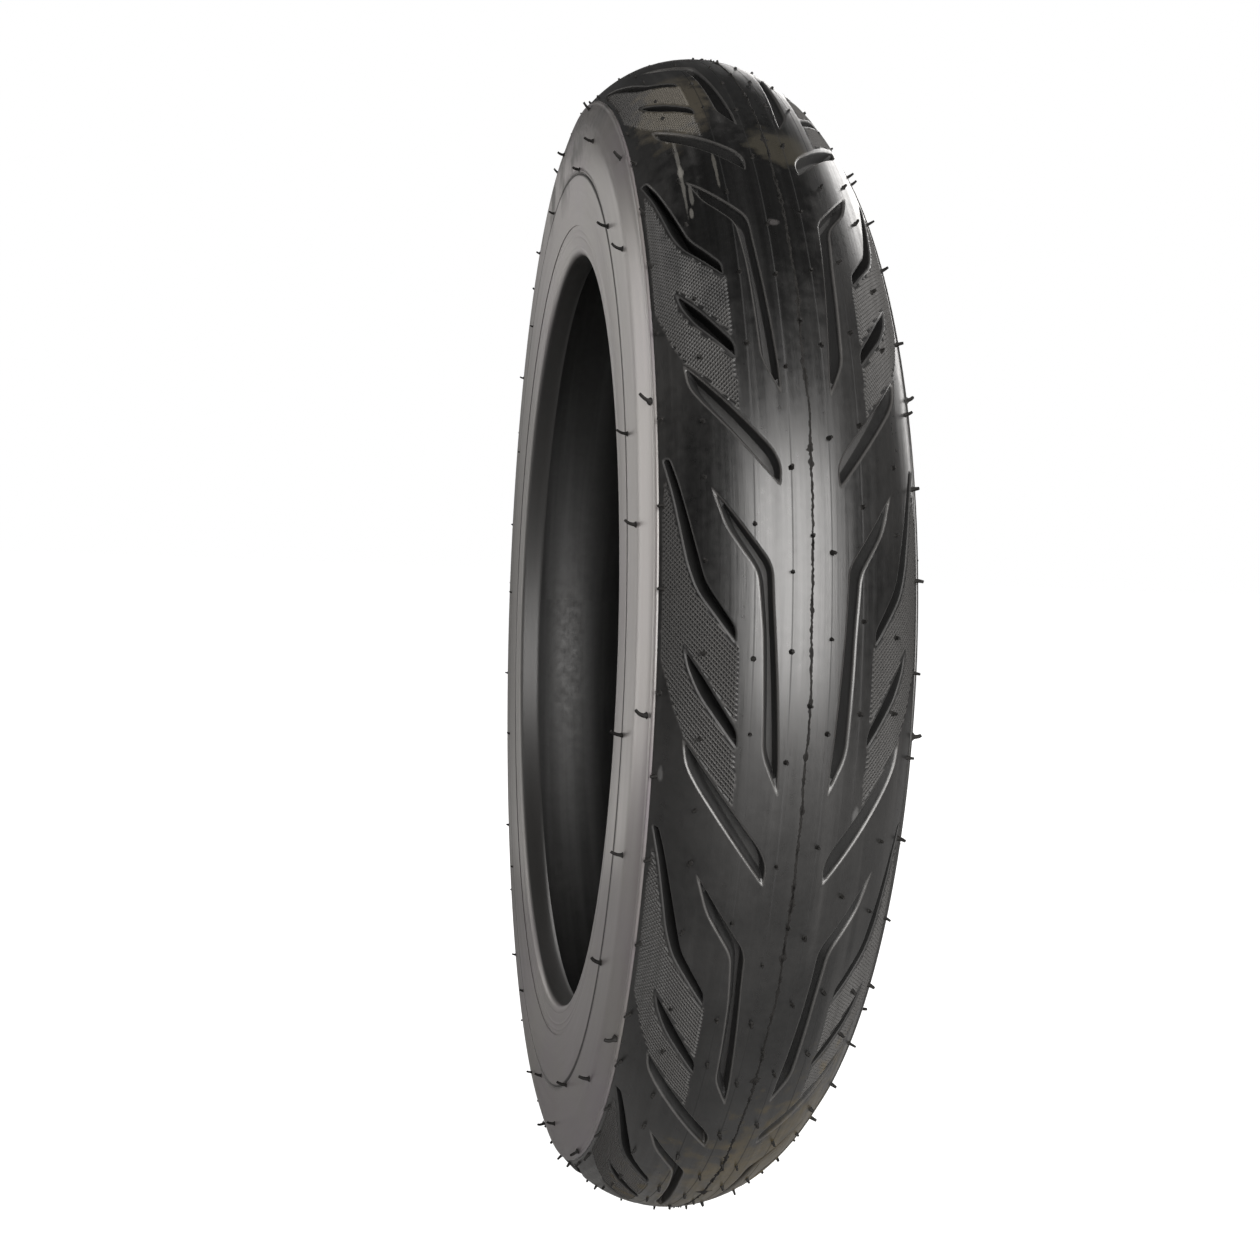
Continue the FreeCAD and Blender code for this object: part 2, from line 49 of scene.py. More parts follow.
# ---- the tyre's section ----
OUTER_RADIUS = 258.8
CROWN_ARC = 51.0
CROWN_OUT = OUTER_RADIUS - CROWN_ARC
CROWN_CENTRE = (0.0, CROWN_OUT)
SHOULDER_LEAN = math.radians(51.5)
CAP_GAUGE = 7.3
CASING_ARC = 41.0
UPPER_SIDE_LEAN = math.radians(75.0)
UPPER_SIDE_ARC = 20.8
SIDE_LEAN = math.radians(25.0)
PLIES_GAUGE = 1.6
LINER_GAUGE = 1.0
CHAFER_GAUGE = 0.6
SHOULDER_ARC = 19.8
SHOULDER_CENTRE = (24.4, 227.2)
SIDE_ARC = 314.0
SIDE_CENTRE = (SHOULDER_CENTRE[0] + SHOULDER_ARC - SIDE_ARC, SHOULDER_CENTRE[1])
FITTING_RADIUS = 211.0
STRIP_TOP = 190.0
CHAFER_TOP = 192.0
TURNUP_TOP = 202.0
SEAT_RADIUS = 177.4
HEEL_ACROSS = 38.0
HEEL_ARC = 3.2
LAND_INSIDE = 30.0
TOE = (27.8, 178.2)
BUNDLE = ((32.1, 181.0), (36.9, 185.8))
WRAP_GAUGE = 0.5
WRAP_INSIDE = BUNDLE[0][0] - WRAP_GAUGE
WRAP_OUTSIDE = BUNDLE[1][0] + WRAP_GAUGE
WRAP_TOP = BUNDLE[1][1] + WRAP_GAUGE
LINER_DEPTH = PLIES_GAUGE + LINER_GAUGE
CHAFER_DEPTH = PLIES_GAUGE + CHAFER_GAUGE
SHOULDER_OUT = CROWN_OUT + CROWN_ARC * math.cos(SHOULDER_LEAN)
SHOULDER_TURN = math.asin((SHOULDER_OUT - SHOULDER_CENTRE[1]) / SHOULDER_ARC)
# Distance down the sidewall from the shoulder to the line that shows whether the tyre sits true.
FITTING_LINE = SHOULDER_ARC * SHOULDER_TURN + SHOULDER_CENTRE[1] - FITTING_RADIUS
# The casing's upper side is an arc, then a straight, then an arc that ends upright at the bead.
UPPER_SIDE_CENTRE = (
    (CASING_ARC - UPPER_SIDE_ARC) * math.sin(UPPER_SIDE_LEAN),
    CROWN_OUT + (CASING_ARC - UPPER_SIDE_ARC) * math.cos(UPPER_SIDE_LEAN),
)
SIDE_FOOT = (
    UPPER_SIDE_CENTRE[0] + UPPER_SIDE_ARC * math.cos(SIDE_LEAN),
    UPPER_SIDE_CENTRE[1] - UPPER_SIDE_ARC * math.sin(SIDE_LEAN),
)
FOOT_ARC = (
    (SIDE_FOOT[1] - WRAP_TOP) * math.sin(SIDE_LEAN) - (SIDE_FOOT[0] - WRAP_INSIDE) * math.cos(SIDE_LEAN)
) / (1 - math.cos(SIDE_LEAN))
FOOT_CENTRE = (WRAP_INSIDE + FOOT_ARC, WRAP_TOP)

# ---- the tread pattern: half of one pitch, as (across, along) outlines; along is round the crown ----
PITCHES = 14
PITCH = 2 * math.pi * OUTER_RADIUS / PITCHES
HALF_WIDTH = CROWN_ARC * SHOULDER_LEAN
GROOVES = {
    "main": [
        (27.3, 66.5), (23.6, 54.0), (15.4, 41.0), (13.9, 24.0), (12.6, -11.0),
        (7.4, -23.0), (7.6, -14.0), (10.7, 30.0), (11.3, 43.0), (24.5, 62.6),
    ],
    "shoulder": [
        (39.2, 78.0), (36.9, 66.0), (33.3, 43.5), (30.9, 35.5), (20.7, 20.3),
        (20.7, 25.0), (28.7, 38.5), (32.3, 55.0), (35.4, 70.0), (37.4, 78.0),
    ],
    "short_slash": [(33.8, 18.8), (32.9, 13.0), (29.8, 5.0), (19.3, -10.0), (19.4, -4.8), (28.5, 10.2)],
    "long_slash": [
        (33.2, -8.5), (32.3, -16.5), (29.5, -22.1), (8.9, -50.8), (8.4, -44.5), (10.5, -39.5), (31.5, -10.9),
    ],
}
PANEL = [
    (38.3, 74.0), (33.2, 58.0), (30.4, 41.5), (27.4, 35.0), (20.6, 23.5), (19.8, 19.0),
    (19.2, -27.0), (21.6, -27.5), (27.5, -19.0), (32.0, -11.0), (36.0, 0.0), (39.2, 14.0), (39.4, 60.0),
]
# The grooves that lie in the knurled panel, or beside it, are painted blacker than the others: a painted
# shade.
DARK_GROOVES = ("shoulder", "short_slash")
# Depth of the tread at a distance inside (+) or outside (-) a groove's outline.
WALL = [(-0.4, 0.0), (0.0, 0.06), (0.35, 0.32), (0.6, 1.0), (1.15, 4.4), (1.5, 5.0)]
KNURL_PITCH = 1.06
KNURL_CREST = 0.1
KNURL_PIT = -0.45
PANEL_RIM = 0.4
# Fine raised lines that the mould's vents stand on: distance across, and (offset, height) over one.
VENT_LINES = (5.8, 16.1)
VENT_LINE_ROWS = [(-0.8, 0.0), (-0.25, 0.0), (0.0, 0.03), (0.25, 0.0), (0.8, 0.0)]

# ---- how far apart the tread's points are, and what they keep clear of its two edges ----
RING_STEP = 1.5
LAND_STEP = 4.0
VENT_LINE_STEP = 2.6
EDGE_STEPS = 60
UNDER_STEPS = 4
MIDDLE_MARGIN = 0.8
SHOULDER_MARGIN = 0.7


# ---- meshes ----


def make_piece(name, points, faces, material, replaced, sharp=38.0, layers=()):
    """A closed mesh from points in millimetres, riding on the root body. Its layers are named numbers,
    one for each point, that the material reads."""
    mesh = bpy.data.meshes.new(name)
    mesh.from_pydata((np.asarray(points) * MM).tolist(), [], faces)
    for layer, numbers in dict(layers).items():
        attribute = mesh.attributes.new(layer, "FLOAT", "POINT")
        attribute.data.foreach_set("value", np.asarray(numbers, np.float32))
    mesh.shade_smooth()
    mesh.set_sharp_from_angle(angle=math.radians(sharp))
    mesh.materials.append(material)
    piece = bpy.data.objects.new(name, mesh)
    bpy.context.scene.collection.objects.link(piece)
    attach(piece, "root")
    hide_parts(*replaced)
    return piece


def on_wheel(across, out, around):
    """Points from their distance along the axle, distance from it and angle about it."""
    return np.stack([out * np.cos(around), across + 0 * around, out * np.sin(around)], -1)


def turning(outline):
    """Positive for a closed outline that runs anticlockwise, negative for one that runs clockwise."""
    following = np.roll(outline, -1, 0)
    return (outline[:, 0] * following[:, 1] - following[:, 0] * outline[:, 1]).sum()


def ring(section, segments, lift=None):
    """A closed section turned about the axle: points and faces, with the faces turned inwards.
    lift(across, out, around) may move each point: it gives new across and out."""
    section = np.asarray(section, float)
    order = 1 if turning(section) > 0 else -1
    count = len(section)
    around = np.arange(segments) * 2 * math.pi / segments
    across, angles = np.meshgrid(section[:, 0], around)
    out = np.broadcast_to(section[:, 1], across.shape)
    if lift:
        across, out = lift(across, out, angles)
    points = on_wheel(across, out, angles).reshape(-1, 3)
    faces = []
    for segment in range(segments):
        here = segment * count
        there = (segment + 1) % segments * count
        for i in range(count):
            j = (i + 1) % count
            faces.append((here + i, here + j, there + j, there + i)[::order])
    return points, faces


def arc(centre, radius, start, end, steps):
    """Points on an arc; angles are from the across axis towards outwards."""
    angles = np.linspace(start, end, steps + 1)
    return [(centre[0] + radius * math.cos(a), centre[1] + radius * math.sin(a)) for a in angles]


# ---- the tread: one pitch of one half, flat, then wrapped and repeated ----


def rounded(outline, reach=3.5):
    """The outline, closed, with its corners rounded and points about RING_STEP apart. The rounding
    starts at most reach from a corner, and closer at a sharp one."""
    sharp_angle, sharp_reach = math.radians(75), 1.0
    most_of_side = 0.45
    corners = [Vector(c) for c in outline]
    path = []
    for i, corner in enumerate(corners):
        before, after = corners[i - 1] - corner, corners[(i + 1) % len(corners)] - corner
        cut = min(reach, most_of_side * before.length, most_of_side * after.length)
        if before.angle(after) < sharp_angle:
            cut = min(cut, sharp_reach)
        start, end = corner + before.normalized() * cut, corner + after.normalized() * cut
        steps = max(2, int(2 * cut))
        for k in range(steps + 1):
            share = k / steps
            path.append(start * (1 - share) ** 2 + corner * 2 * share * (1 - share) + end * share**2)
    dense = []
    for here, there in zip(path, path[1:] + path[:1]):
        pieces = max(1, round((there - here).length / RING_STEP))
        dense += [here.lerp(there, k / pieces) for k in range(pieces)]
    return np.array([(p.x, p.y) for p in dense])


def round_crown(across):
    """Distance round the crown's arc, from its middle, to a place that far across."""
    return CROWN_ARC * math.asin(across / CROWN_ARC)


def flattened(outline):
    """The outline with its distance across measured round the crown's arc."""
    return [(round_crown(across), along) for across, along in outline]


def groove_outlines(names=tuple(GROOVES)):
    """The flattened, rounded outlines of the grooves of those names."""
    return [rounded(flattened(GROOVES[name])) for name in names]


def inwards(outline):
    """Directions of length 1 from the points of a closed outline towards its inside."""
    along = np.roll(outline, -1, 0) - np.roll(outline, 1, 0)
    along /= np.linalg.norm(along, axis=1)[:, None]
    return np.stack([-along[:, 1], along[:, 0]], -1) * np.sign(turning(outline))


def signed_distance(points, outline):
    """Distance of points from a closed outline, positive inside it."""
    start, end = outline, np.roll(outline, -1, 0)
    span = end - start
    nearest = np.full(len(points), np.inf)
    inside = np.zeros(len(points), bool)
    for a, b, ab in zip(start, end, span):
        length = max(ab @ ab, 1e-12)
        share = np.clip((points - a) @ ab / length, 0, 1)
        gap = points - (a + share[:, None] * ab)
        nearest = np.minimum(nearest, (gap**2).sum(1))
        crosses = (a[1] > points[:, 1]) != (b[1] > points[:, 1])
        if crosses.any():
            x = a[0] + (points[crosses, 1] - a[1]) * ab[0] / ab[1]
            inside[crosses] ^= points[crosses, 0] < x
    return np.where(inside, 1, -1) * np.sqrt(nearest)


def depth_inside(points, outlines):
    """Largest signed distance of points from any of the outlines, which repeat every pitch."""
    best = np.full(len(points), -np.inf)
    for outline in outlines:
        for shift in (-PITCH, 0, PITCH):
            best = np.maximum(best, signed_distance(points, outline + (0, shift)))
    return best


def ring_points(outlines, grooved):
    """Points at each of the wall's distances from the outlines, and the edges that join them."""
    points, edges = [], []
    count = 0
    for outline in outlines:
        for distance, _ in WALL:
            spots = outline + inwards(outline) * distance
            # Where the wall bends tightly or meets another groove, some spots miss their distance.
            good = abs(grooved(spots) - distance) < 0.03
            good &= (spots[:, 0] > MIDDLE_MARGIN) & (spots[:, 0] < HALF_WIDTH - SHOULDER_MARGIN)
            number = np.cumsum(good) - 1 + count
            joined = good & np.roll(good, -1)
            points.append(spots[good])
            edges.append(np.stack([number, np.roll(number, -1)], -1)[joined])
            count += good.sum()
    return np.concatenate(points), np.concatenate(edges)


def land_points(grooved, panel):
    """Points spread over the plain land and the grooves' floors, in staggered rows."""
    wander = 0.4
    before_wall, past_wall, edge_margin, line_margin = 1.8, 2.4, 1.5, 1.7
    rows = int(PITCH / LAND_STEP)
    columns = int(HALF_WIDTH / LAND_STEP)
    across, along = (np.arange(columns) + 0.5) / columns * HALF_WIDTH, np.arange(rows) / rows * PITCH
    across, along = np.meshgrid(across, along)
    across = across + (np.arange(rows)[:, None] % 2 - 0.5) * LAND_STEP / 2
    points = np.stack([across.ravel(), along.ravel()], -1)
    points += random.uniform(-wander, wander, points.shape)
    distance = grooved(points)
    clear = ((distance < -before_wall) | (distance > past_wall)) & (panel(points) < -edge_margin)
    clear &= (points[:, 0] > edge_margin) & (points[:, 0] < HALF_WIDTH - edge_margin)
    for line in VENT_LINES:
        clear &= abs(points[:, 0] - round_crown(line)) > line_margin
    return points[clear]


def knurl_points(grooved, panel):
    """A square lattice at 45 degrees: pits, and crossings that ridges join. Returns the points,
    their heights and the ridges."""
    step = KNURL_PITCH / math.sqrt(2)
    clearance = 0.7
    rows, columns = round(HALF_WIDTH / step), 2 * round(PITCH / step / 2)
    i, j = np.indices((rows, columns))
    crossing = (i + j) % 2 == 0
    points = np.stack([i * step, j * PITCH / columns], -1).reshape(-1, 2)
    keep = (grooved(points) < -clearance) & (panel(points) > PANEL_RIM)
    keep &= points[:, 0] < HALF_WIDTH - SHOULDER_MARGIN
    number = np.where(keep, np.cumsum(keep) - 1, -1).reshape(rows, columns)
    ridges = []
    for turn in (1, -1):
        near, far = number[:-1], np.roll(number, turn, 1)[1:]
        joined = crossing[:-1] & (near >= 0) & (far >= 0)
        ridges.append(np.stack([near[joined], far[joined]], -1))
    heights = np.where(crossing.ravel()[keep], KNURL_CREST, KNURL_PIT)
    return points[keep], heights, np.concatenate(ridges)


def panel_rim_points(border, grooved):
    """Two rows of points round the knurled panel, level with the land, that bound its pattern."""
    gap, clearance = 0.6, 0.9
    points = np.concatenate([border, border - inwards(border) * gap])
    keep = (grooved(points) < -clearance) & (points[:, 0] < HALF_WIDTH - SHOULDER_MARGIN)
    return points[keep]


def vent_line_points(grooved, panel):
    """Rows of points for each vent line, their heights, and the edges along the rows. The lines
    fade out towards a groove."""
    clearance = 1.0
    points, heights, edges = [], [], []
    count = 0
    steps = round(PITCH / VENT_LINE_STEP)
    along = np.arange(steps) * PITCH / steps
    for line in VENT_LINES:
        for offset, height in VENT_LINE_ROWS:
            row = np.stack([np.full(steps, round_crown(line) + offset), along], -1)
            good = (grooved(row) < -clearance) & (panel(row) < -clearance)
            height = height * np.clip(-grooved(row[good]) / 2 - 0.5, 0, 1)
            number = np.cumsum(good) - 1 + count
            joined = good & np.roll(good, -1)
            joined[-1] = False
            points.append(row[good])
            heights.append(height)
            edges.append(np.stack([number, np.roll(number, -1)], -1)[joined])
            count += good.sum()
    return np.concatenate(points), np.concatenate(heights), np.concatenate(edges)


def repeat_triangles(points, edges):
    """Triangulates points that repeat every pitch, a little past both ends of it. Returns the points,
    with any that crossing edges add, and one pitch's triangles, whose corners are (point, pitches
    along)."""
    margin = 14.0
    tolerance, same_place = 1e-4, 1e-3
    flat, origin, number = [], [], {}
    for shift in (-1, 0, 1):
        for i, (s, t) in enumerate(points):
            if -margin < t + shift * PITCH < PITCH + margin:
                number[i, shift] = len(flat)
                flat.append((s, t + shift * PITCH))
                origin.append((i, shift))
    joins = []
    for a, b in edges:
        over = round((points[a][1] - points[b][1]) / PITCH)
        for shift in (-1, 0, 1):
            ends = number.get((a, shift)), number.get((b, shift + over))
            if None not in ends:
                joins.append(ends)
    flat = [Vector(p) for p in flat]
    spots, _, triangles, sources, _, _ = delaunay_2d_cdt(flat, joins, [], 0, tolerance)
    added = []

    def known(spot, source):
        """The (point, pitches along) of a triangulated spot, which is added if it is a new one."""
        if source:
            return min(origin[k] for k in source)
        shift = math.floor(spot.y / PITCH)
        place = (spot.x, spot.y - shift * PITCH)
        for i, other in enumerate(added):
            if math.dist(other, place) < same_place:
                return len(points) + i, shift
        added.append(place)
        return len(points) + len(added) - 1, shift

    corners = [known(spot, source) for spot, source in zip(spots, sources)]
    kept = []
    for triangle in triangles:
        middle = sum(spots[k].y for k in triangle) / 3
        if 0 <= middle < PITCH:
            kept.append([corners[k] for k in triangle])
    return np.concatenate([points, np.array(added).reshape(-1, 2)]), kept


def tread_pitch():
    """One pitch of the tread's right half: points as (round the crown's section, along), their
    heights above the crown, what colours them, the triangles, and where the edges' points start."""
    outlines = groove_outlines()
    border = rounded(flattened(PANEL), 1.0)

    def grooved(points):
        return depth_inside(points, outlines)

    def panel(points):
        return depth_inside(points, [border])

    rings, ring_edges = ring_points(outlines, grooved)
    knurl, knurl_heights, ridges = knurl_points(grooved, panel)
    lines, line_heights, line_edges = vent_line_points(grooved, panel)
    land = np.concatenate([land_points(grooved, panel), panel_rim_points(border, grooved)])
    along = np.arange(EDGE_STEPS) * PITCH / EDGE_STEPS
    both_edges = [np.stack([np.full(EDGE_STEPS, s), along], -1) for s in (0.0, HALF_WIDTH)]
    inner = [rings, lines, knurl, land]
    # A small shake, so that evenly spaced points leave no ties between triangles.
    for group in inner:
        group[:, 1] += random.uniform(-0.02, 0.02, len(group))
    line_start, knurl_start, land_start, edge_start = np.cumsum([len(group) for group in inner])
    edges = np.concatenate([ring_edges, line_edges + line_start, ridges + knurl_start])
    points = np.concatenate(inner + both_edges)
    points[:, 1] %= PITCH
    points, triangles = repeat_triangles(points, edges)
    raised = np.zeros(len(points))
    raised[line_start:knurl_start] = line_heights
    raised[knurl_start:land_start] = knurl_heights
    depth = np.interp(grooved(points), *np.transpose(WALL))
    knurled = np.zeros(len(points))
    knurled[knurl_start:land_start] = 1
    # Painted shade: the dark grooves, and a band round their outlines, are coloured nearly black.
    dark = depth_inside(points, groove_outlines(DARK_GROOVES))
    layers = {
        "depth": depth,
        "knurl": knurled,
        "pit": (raised == KNURL_PIT).astype(float),
        "shade": np.interp(dark, (-0.4, 0.1), (0, 1)),
    }
    return points, raised - depth, layers, triangles, edge_start


def under_points():
    """One pitch of the cap's underside, row by row from the shoulder to the middle, as (across, out,
    around)."""
    low = CROWN_ARC - CAP_GAUGE
    around = np.arange(EDGE_STEPS) * PITCH / EDGE_STEPS / OUTER_RADIUS
    rows = []
    for k in range(UNDER_STEPS + 1):
        lean = SHOULDER_LEAN * (1 - k / UNDER_STEPS)
        across, out = low * math.sin(lean), CROWN_OUT + low * math.cos(lean)
        rows.append(np.stack([np.full(EDGE_STEPS, across), np.full(EDGE_STEPS, out), around], -1))
    return np.concatenate(rows)


def closing_faces(count, edge_start):
    """Faces from the pattern's shoulder edge, by the underside, to its middle edge. Their corners are
    (point, pitches along), and the underside's points follow the pattern's, which number count."""
    underside = [count + k * EDGE_STEPS for k in range(UNDER_STEPS + 1)]
    rows = [edge_start + EDGE_STEPS, *underside, edge_start]
    faces = []
    for near, far in zip(rows, rows[1:]):
        for i in range(EDGE_STEPS):
            j, over = (i + 1) % EDGE_STEPS, (i + 1) // EDGE_STEPS
            faces.append([(near + i, 0), (far + i, 0), (far + j, over), (near + j, over)])
    return faces


def make_tread(side, pattern, land_material, dark_material):
    """The tread cap's half: the pattern wrapped round the crown, closed by its side and underside."""
    points, heights, layers, triangles, edge_start = pattern
    hand = SIDES[side]
    lean = points[:, 0] / CROWN_ARC
    reach = CROWN_ARC + heights
    top = [reach * np.sin(lean), CROWN_OUT + reach * np.cos(lean), points[:, 1] / OUTER_RADIUS]
    under = under_points()
    across, out, around = np.concatenate([np.stack(top, -1), under]).T

    def everywhere(numbers):
        """The pattern's numbers for each pitch, with zeros for the points underneath."""
        return np.tile(np.append(numbers, np.zeros(len(under))), PITCHES)

    slope = np.append(lean, np.zeros(len(under)))
    one_pitch = triangles + closing_faces(len(points), edge_start)
    every, normals, faces = [], [], []
    for pitch in range(PITCHES):
        here = around + pitch * 2 * math.pi / PITCHES
        every.append(on_wheel(hand * across, out, here))
        normals.append(on_wheel(hand * np.sin(slope), np.cos(slope), here))
        for face in one_pitch:
            corners = [(pitch + over) % PITCHES * len(across) + i for i, over in face]
            faces.append(corners if hand > 0 else corners[::-1])
    layers = {name: everywhere(layer) for name, layer in layers.items()}
    every = np.concatenate(every)
    name, replaced = f"tread_{side}", ["tread_cap"]
    mesh = make_piece(name, every, faces, land_material, replaced, layers=layers).data
    # Faces wholly inside the dark grooves take the nearly black material, as a painted shade.
    mesh.materials.append(dark_material)
    mesh.polygons.foreach_set("material_index", [int(layers["shade"][face].min() == 1) for face in faces])
    # The plain land takes the crown's own normals, so that its shine runs smoothly over long triangles.
    normals = np.concatenate(normals) * everywhere(abs(heights) < 0.02)[:, None]
    mesh.normals_split_custom_set(normals[[i for face in faces for i in face]])


def make_flash(material):
    """The ragged line of rubber that the two mould halves leave round the crown."""
    segments = 2600
    flakes = 240
    heights = random.uniform(0.05, 0.3, segments)
    widths = random.uniform(0.6, 1.5, (segments, 2))
    for place in random.integers(0, segments, flakes):
        heights[place : place + 3] += random.uniform(0.1, 0.5)
        widths[place : place + 4] *= random.uniform(1.1, 2.0)
    smoothing = 24
    wander = np.convolve(random.uniform(-1.4, 1.4, segments), np.ones(smoothing) / smoothing, "same")
    foot, edge, slope = OUTER_RADIUS - 0.8, OUTER_RADIUS - 0.02, OUTER_RADIUS + 0.06
    ridge = (0.0, OUTER_RADIUS)
    section = [(-0.36, edge), (-0.28, foot), (0.28, foot), (0.36, edge), (0.18, slope), ridge, (-0.18, slope)]

    def lift(across, out, around):
        out = out.copy()
        out[:, section.index(ridge)] += heights
        return across * np.where(across < 0, widths[:, :1], widths[:, 1:]) + wander[:, None], out

    points, faces = ring(section, segments, lift)
    make_piece("parting_flash", points, faces, material, ["parting_line_flash"])


# ---- the sidewalls, beads and liner ----


def bump(place, middle, half_width, height):
    """Height, at a place, of a smooth bump; below zero for a hollow."""
    return height * np.exp(-(((place - middle) / half_width) ** 2))


def side_relief(down):
    """How far the sidewall stands proud, at a distance down it from the shoulder: a nick and a lip at
    the shoulder, a hollow band, then the fitting line, with a low rise above it and a step below."""
    relief = bump(down, 0.0, 0.25, -0.6) + bump(down, 1.0, 0.75, 0.5) + bump(down, 7.0, 3.5, -0.4)
    step, softness = 0.3, 0.3
    relief += bump(down, FITTING_LINE, 0.4, -0.5) + step / (1 + np.exp((FITTING_LINE - down) / softness))
    return relief + bump(down, FITTING_LINE - 1.0, 0.5, 0.15)


def side_point(down, relief):
    """The point of the sidewall's outer face at a distance down it, moved out by its relief."""
    turn = SHOULDER_TURN - down / SHOULDER_ARC
    if turn > 0:
        centre, radius = SHOULDER_CENTRE, SHOULDER_ARC
    else:
        centre, radius, turn = SIDE_CENTRE, SIDE_ARC, turn * SHOULDER_ARC / SIDE_ARC
    reach = radius + relief
    return centre[0] + reach * math.cos(turn), centre[1] + reach * math.sin(turn)


def make_sidewall(side, material):
    """The outer side rubber: shoulder lip, hollow band, fitting line and the band above the bead."""
    lip_end = 3.0
    length = SHOULDER_ARC * SHOULDER_TURN
    length += SIDE_ARC * math.asin((SHOULDER_CENTRE[1] - STRIP_TOP) / SIDE_ARC)
    near_lip = np.arange(0, lip_end, 0.2)
    near_line = np.arange(FITTING_LINE - 2.5, FITTING_LINE + 2, 0.22)
    elsewhere = np.linspace(lip_end, length, 44)
    down = np.unique(np.round(np.concatenate([near_lip, near_line, elsewhere]), 2))
    down = down[np.append(True, np.diff(down) > 0.1)]
    section = [side_point(d, relief) for d, relief in zip(down, side_relief(down))]
    section += [
        (WRAP_OUTSIDE + CHAFER_DEPTH, STRIP_TOP),
        (WRAP_OUTSIDE + CHAFER_DEPTH, CHAFER_TOP),
        (WRAP_OUTSIDE + PLIES_GAUGE, CHAFER_TOP),
        (WRAP_OUTSIDE + PLIES_GAUGE, TURNUP_TOP),
        (SIDE_FOOT[0] - (SIDE_FOOT[1] - TURNUP_TOP) * math.tan(SIDE_LEAN), TURNUP_TOP),
    ]
    arcs_meet = math.pi / 2 - UPPER_SIDE_LEAN
    section += arc(UPPER_SIDE_CENTRE, UPPER_SIDE_ARC, -SIDE_LEAN, arcs_meet, 6)
    section += arc(CROWN_CENTRE, CASING_ARC, arcs_meet, math.pi / 2 - SHOULDER_LEAN, 4)[1:]
    hand = SIDES[side]
    points, faces = ring([(hand * a, o) for a, o in section], PITCHES * 22)
    make_piece(f"side_rubber_{side}", points, faces, material, [f"sidewall_{side}"])


def make_bead_foot(side, material):
    """The rubber under and outside the bead: ribbed flank, heel, seat and toe."""
    top = SHOULDER_CENTRE[1] - STRIP_TOP
    heel_out, heel_turn = SEAT_RADIUS + HEEL_ARC, math.radians(83)
    # Ribs on the flank: distance below its top, half-width, height. The first is a hollow.
    ribs = [(0.0, 0.3, -0.12), (2.2, 0.4, 0.12), (4.6, 0.4, 0.15)]
    section = []
    for drop in np.arange(top, SHOULDER_CENTRE[1] - heel_out, 0.25):
        relief = sum(bump(drop, top + below, half_width, height) for below, half_width, height in ribs)
        reach = SIDE_ARC + relief
        turn = -math.asin(drop / SIDE_ARC)
        section.append((SIDE_CENTRE[0] + reach * math.cos(turn), SIDE_CENTRE[1] + reach * math.sin(turn)))
    corner = WRAP_GAUGE + CHAFER_DEPTH
    inside, outside = BUNDLE[0][0], BUNDLE[1][0]
    base = BUNDLE[0][1]
    section += arc((HEEL_ACROSS - 0.4, heel_out), HEEL_ARC, 0, -heel_turn, 8)
    section += [(HEEL_ACROSS - 1.5, SEAT_RADIUS), (HEEL_ACROSS - 4, SEAT_RADIUS), (LAND_INSIDE, SEAT_RADIUS)]
    section += [(TOE[0] + 0.7, TOE[1] - 0.4), TOE, (TOE[0] + 0.1, TOE[1] + 1.2)]
    section += [(WRAP_INSIDE - LINER_DEPTH, WRAP_TOP), (WRAP_INSIDE - CHAFER_DEPTH, WRAP_TOP)]
    section += arc((inside, base), corner, math.pi, 1.5 * math.pi, 5)
    section += arc((outside, base), corner, -math.pi / 2, 0, 5) + [(outside + corner, STRIP_TOP)]
    hand = SIDES[side]
    points, faces = ring([(hand * a, o) for a, o in section], PITCHES * 20)
    make_piece(f"bead_foot_{side}", points, faces, material, [f"rim_strip_{side}"])


def make_liner(material):
    """The inner liner, with the shallow ribs that the curing bladder leaves inside it."""
    foot_steps = 5
    arcs_meet = math.pi / 2 - UPPER_SIDE_LEAN
    ribs, rib_every, rib_height = PITCHES * 6, 6, 0.08

    def half(depth):
        """The right half of a line at a depth inside the casing, from the bead to the middle."""
        path = arc(FOOT_CENTRE, FOOT_ARC + depth, math.pi, math.pi - SIDE_LEAN, foot_steps)
        path += arc(UPPER_SIDE_CENTRE, UPPER_SIDE_ARC - depth, -SIDE_LEAN, arcs_meet, 9)
        return path + arc(CROWN_CENTRE, CASING_ARC - depth, arcs_meet, math.pi / 2, 14)[1:]

    inner, outer = half(LINER_DEPTH), half(PLIES_GAUGE)
    face = inner + [(-a, o) for a, o in inner[-2::-1]]
    section = face + [(-a, o) for a, o in outer] + outer[-2::-1]

    def lift(across, out, around):
        out = out.copy()
        out[::rib_every, foot_steps : len(face) - foot_steps] -= rib_height
        return across, out

    points, faces = ring(section, ribs * rib_every, lift)
    make_piece("liner_skin", points, faces, material, ["inner_liner"], sharp=60.0)


# ---- the vent hairs ----


def tube(path, radii, sides=6):
    """A closed tube along a path of vectors, as points and faces."""
    points, faces = [], []
    across = None
    for i, here in enumerate(path):
        way = (path[min(i + 1, len(path) - 1)] - path[max(i - 1, 0)]).normalized()
        if across is None:
            across = way.orthogonal().normalized()
        across = (across - way * across.dot(way)).normalized()
        other = way.cross(across)
        for k in range(sides):
            turn = 2 * math.pi * k / sides
            points.append(here + (across * math.cos(turn) + other * math.sin(turn)) * radii[i])
    for i in range(len(path) - 1):
        for k in range(sides):
            j = (k + 1) % sides
            faces.append((i * sides + k, i * sides + j, (i + 1) * sides + j, (i + 1) * sides + k))
    faces.append(tuple(range(sides))[::-1])
    faces.append(tuple(range((len(path) - 1) * sides, len(path) * sides)))
    return points, faces


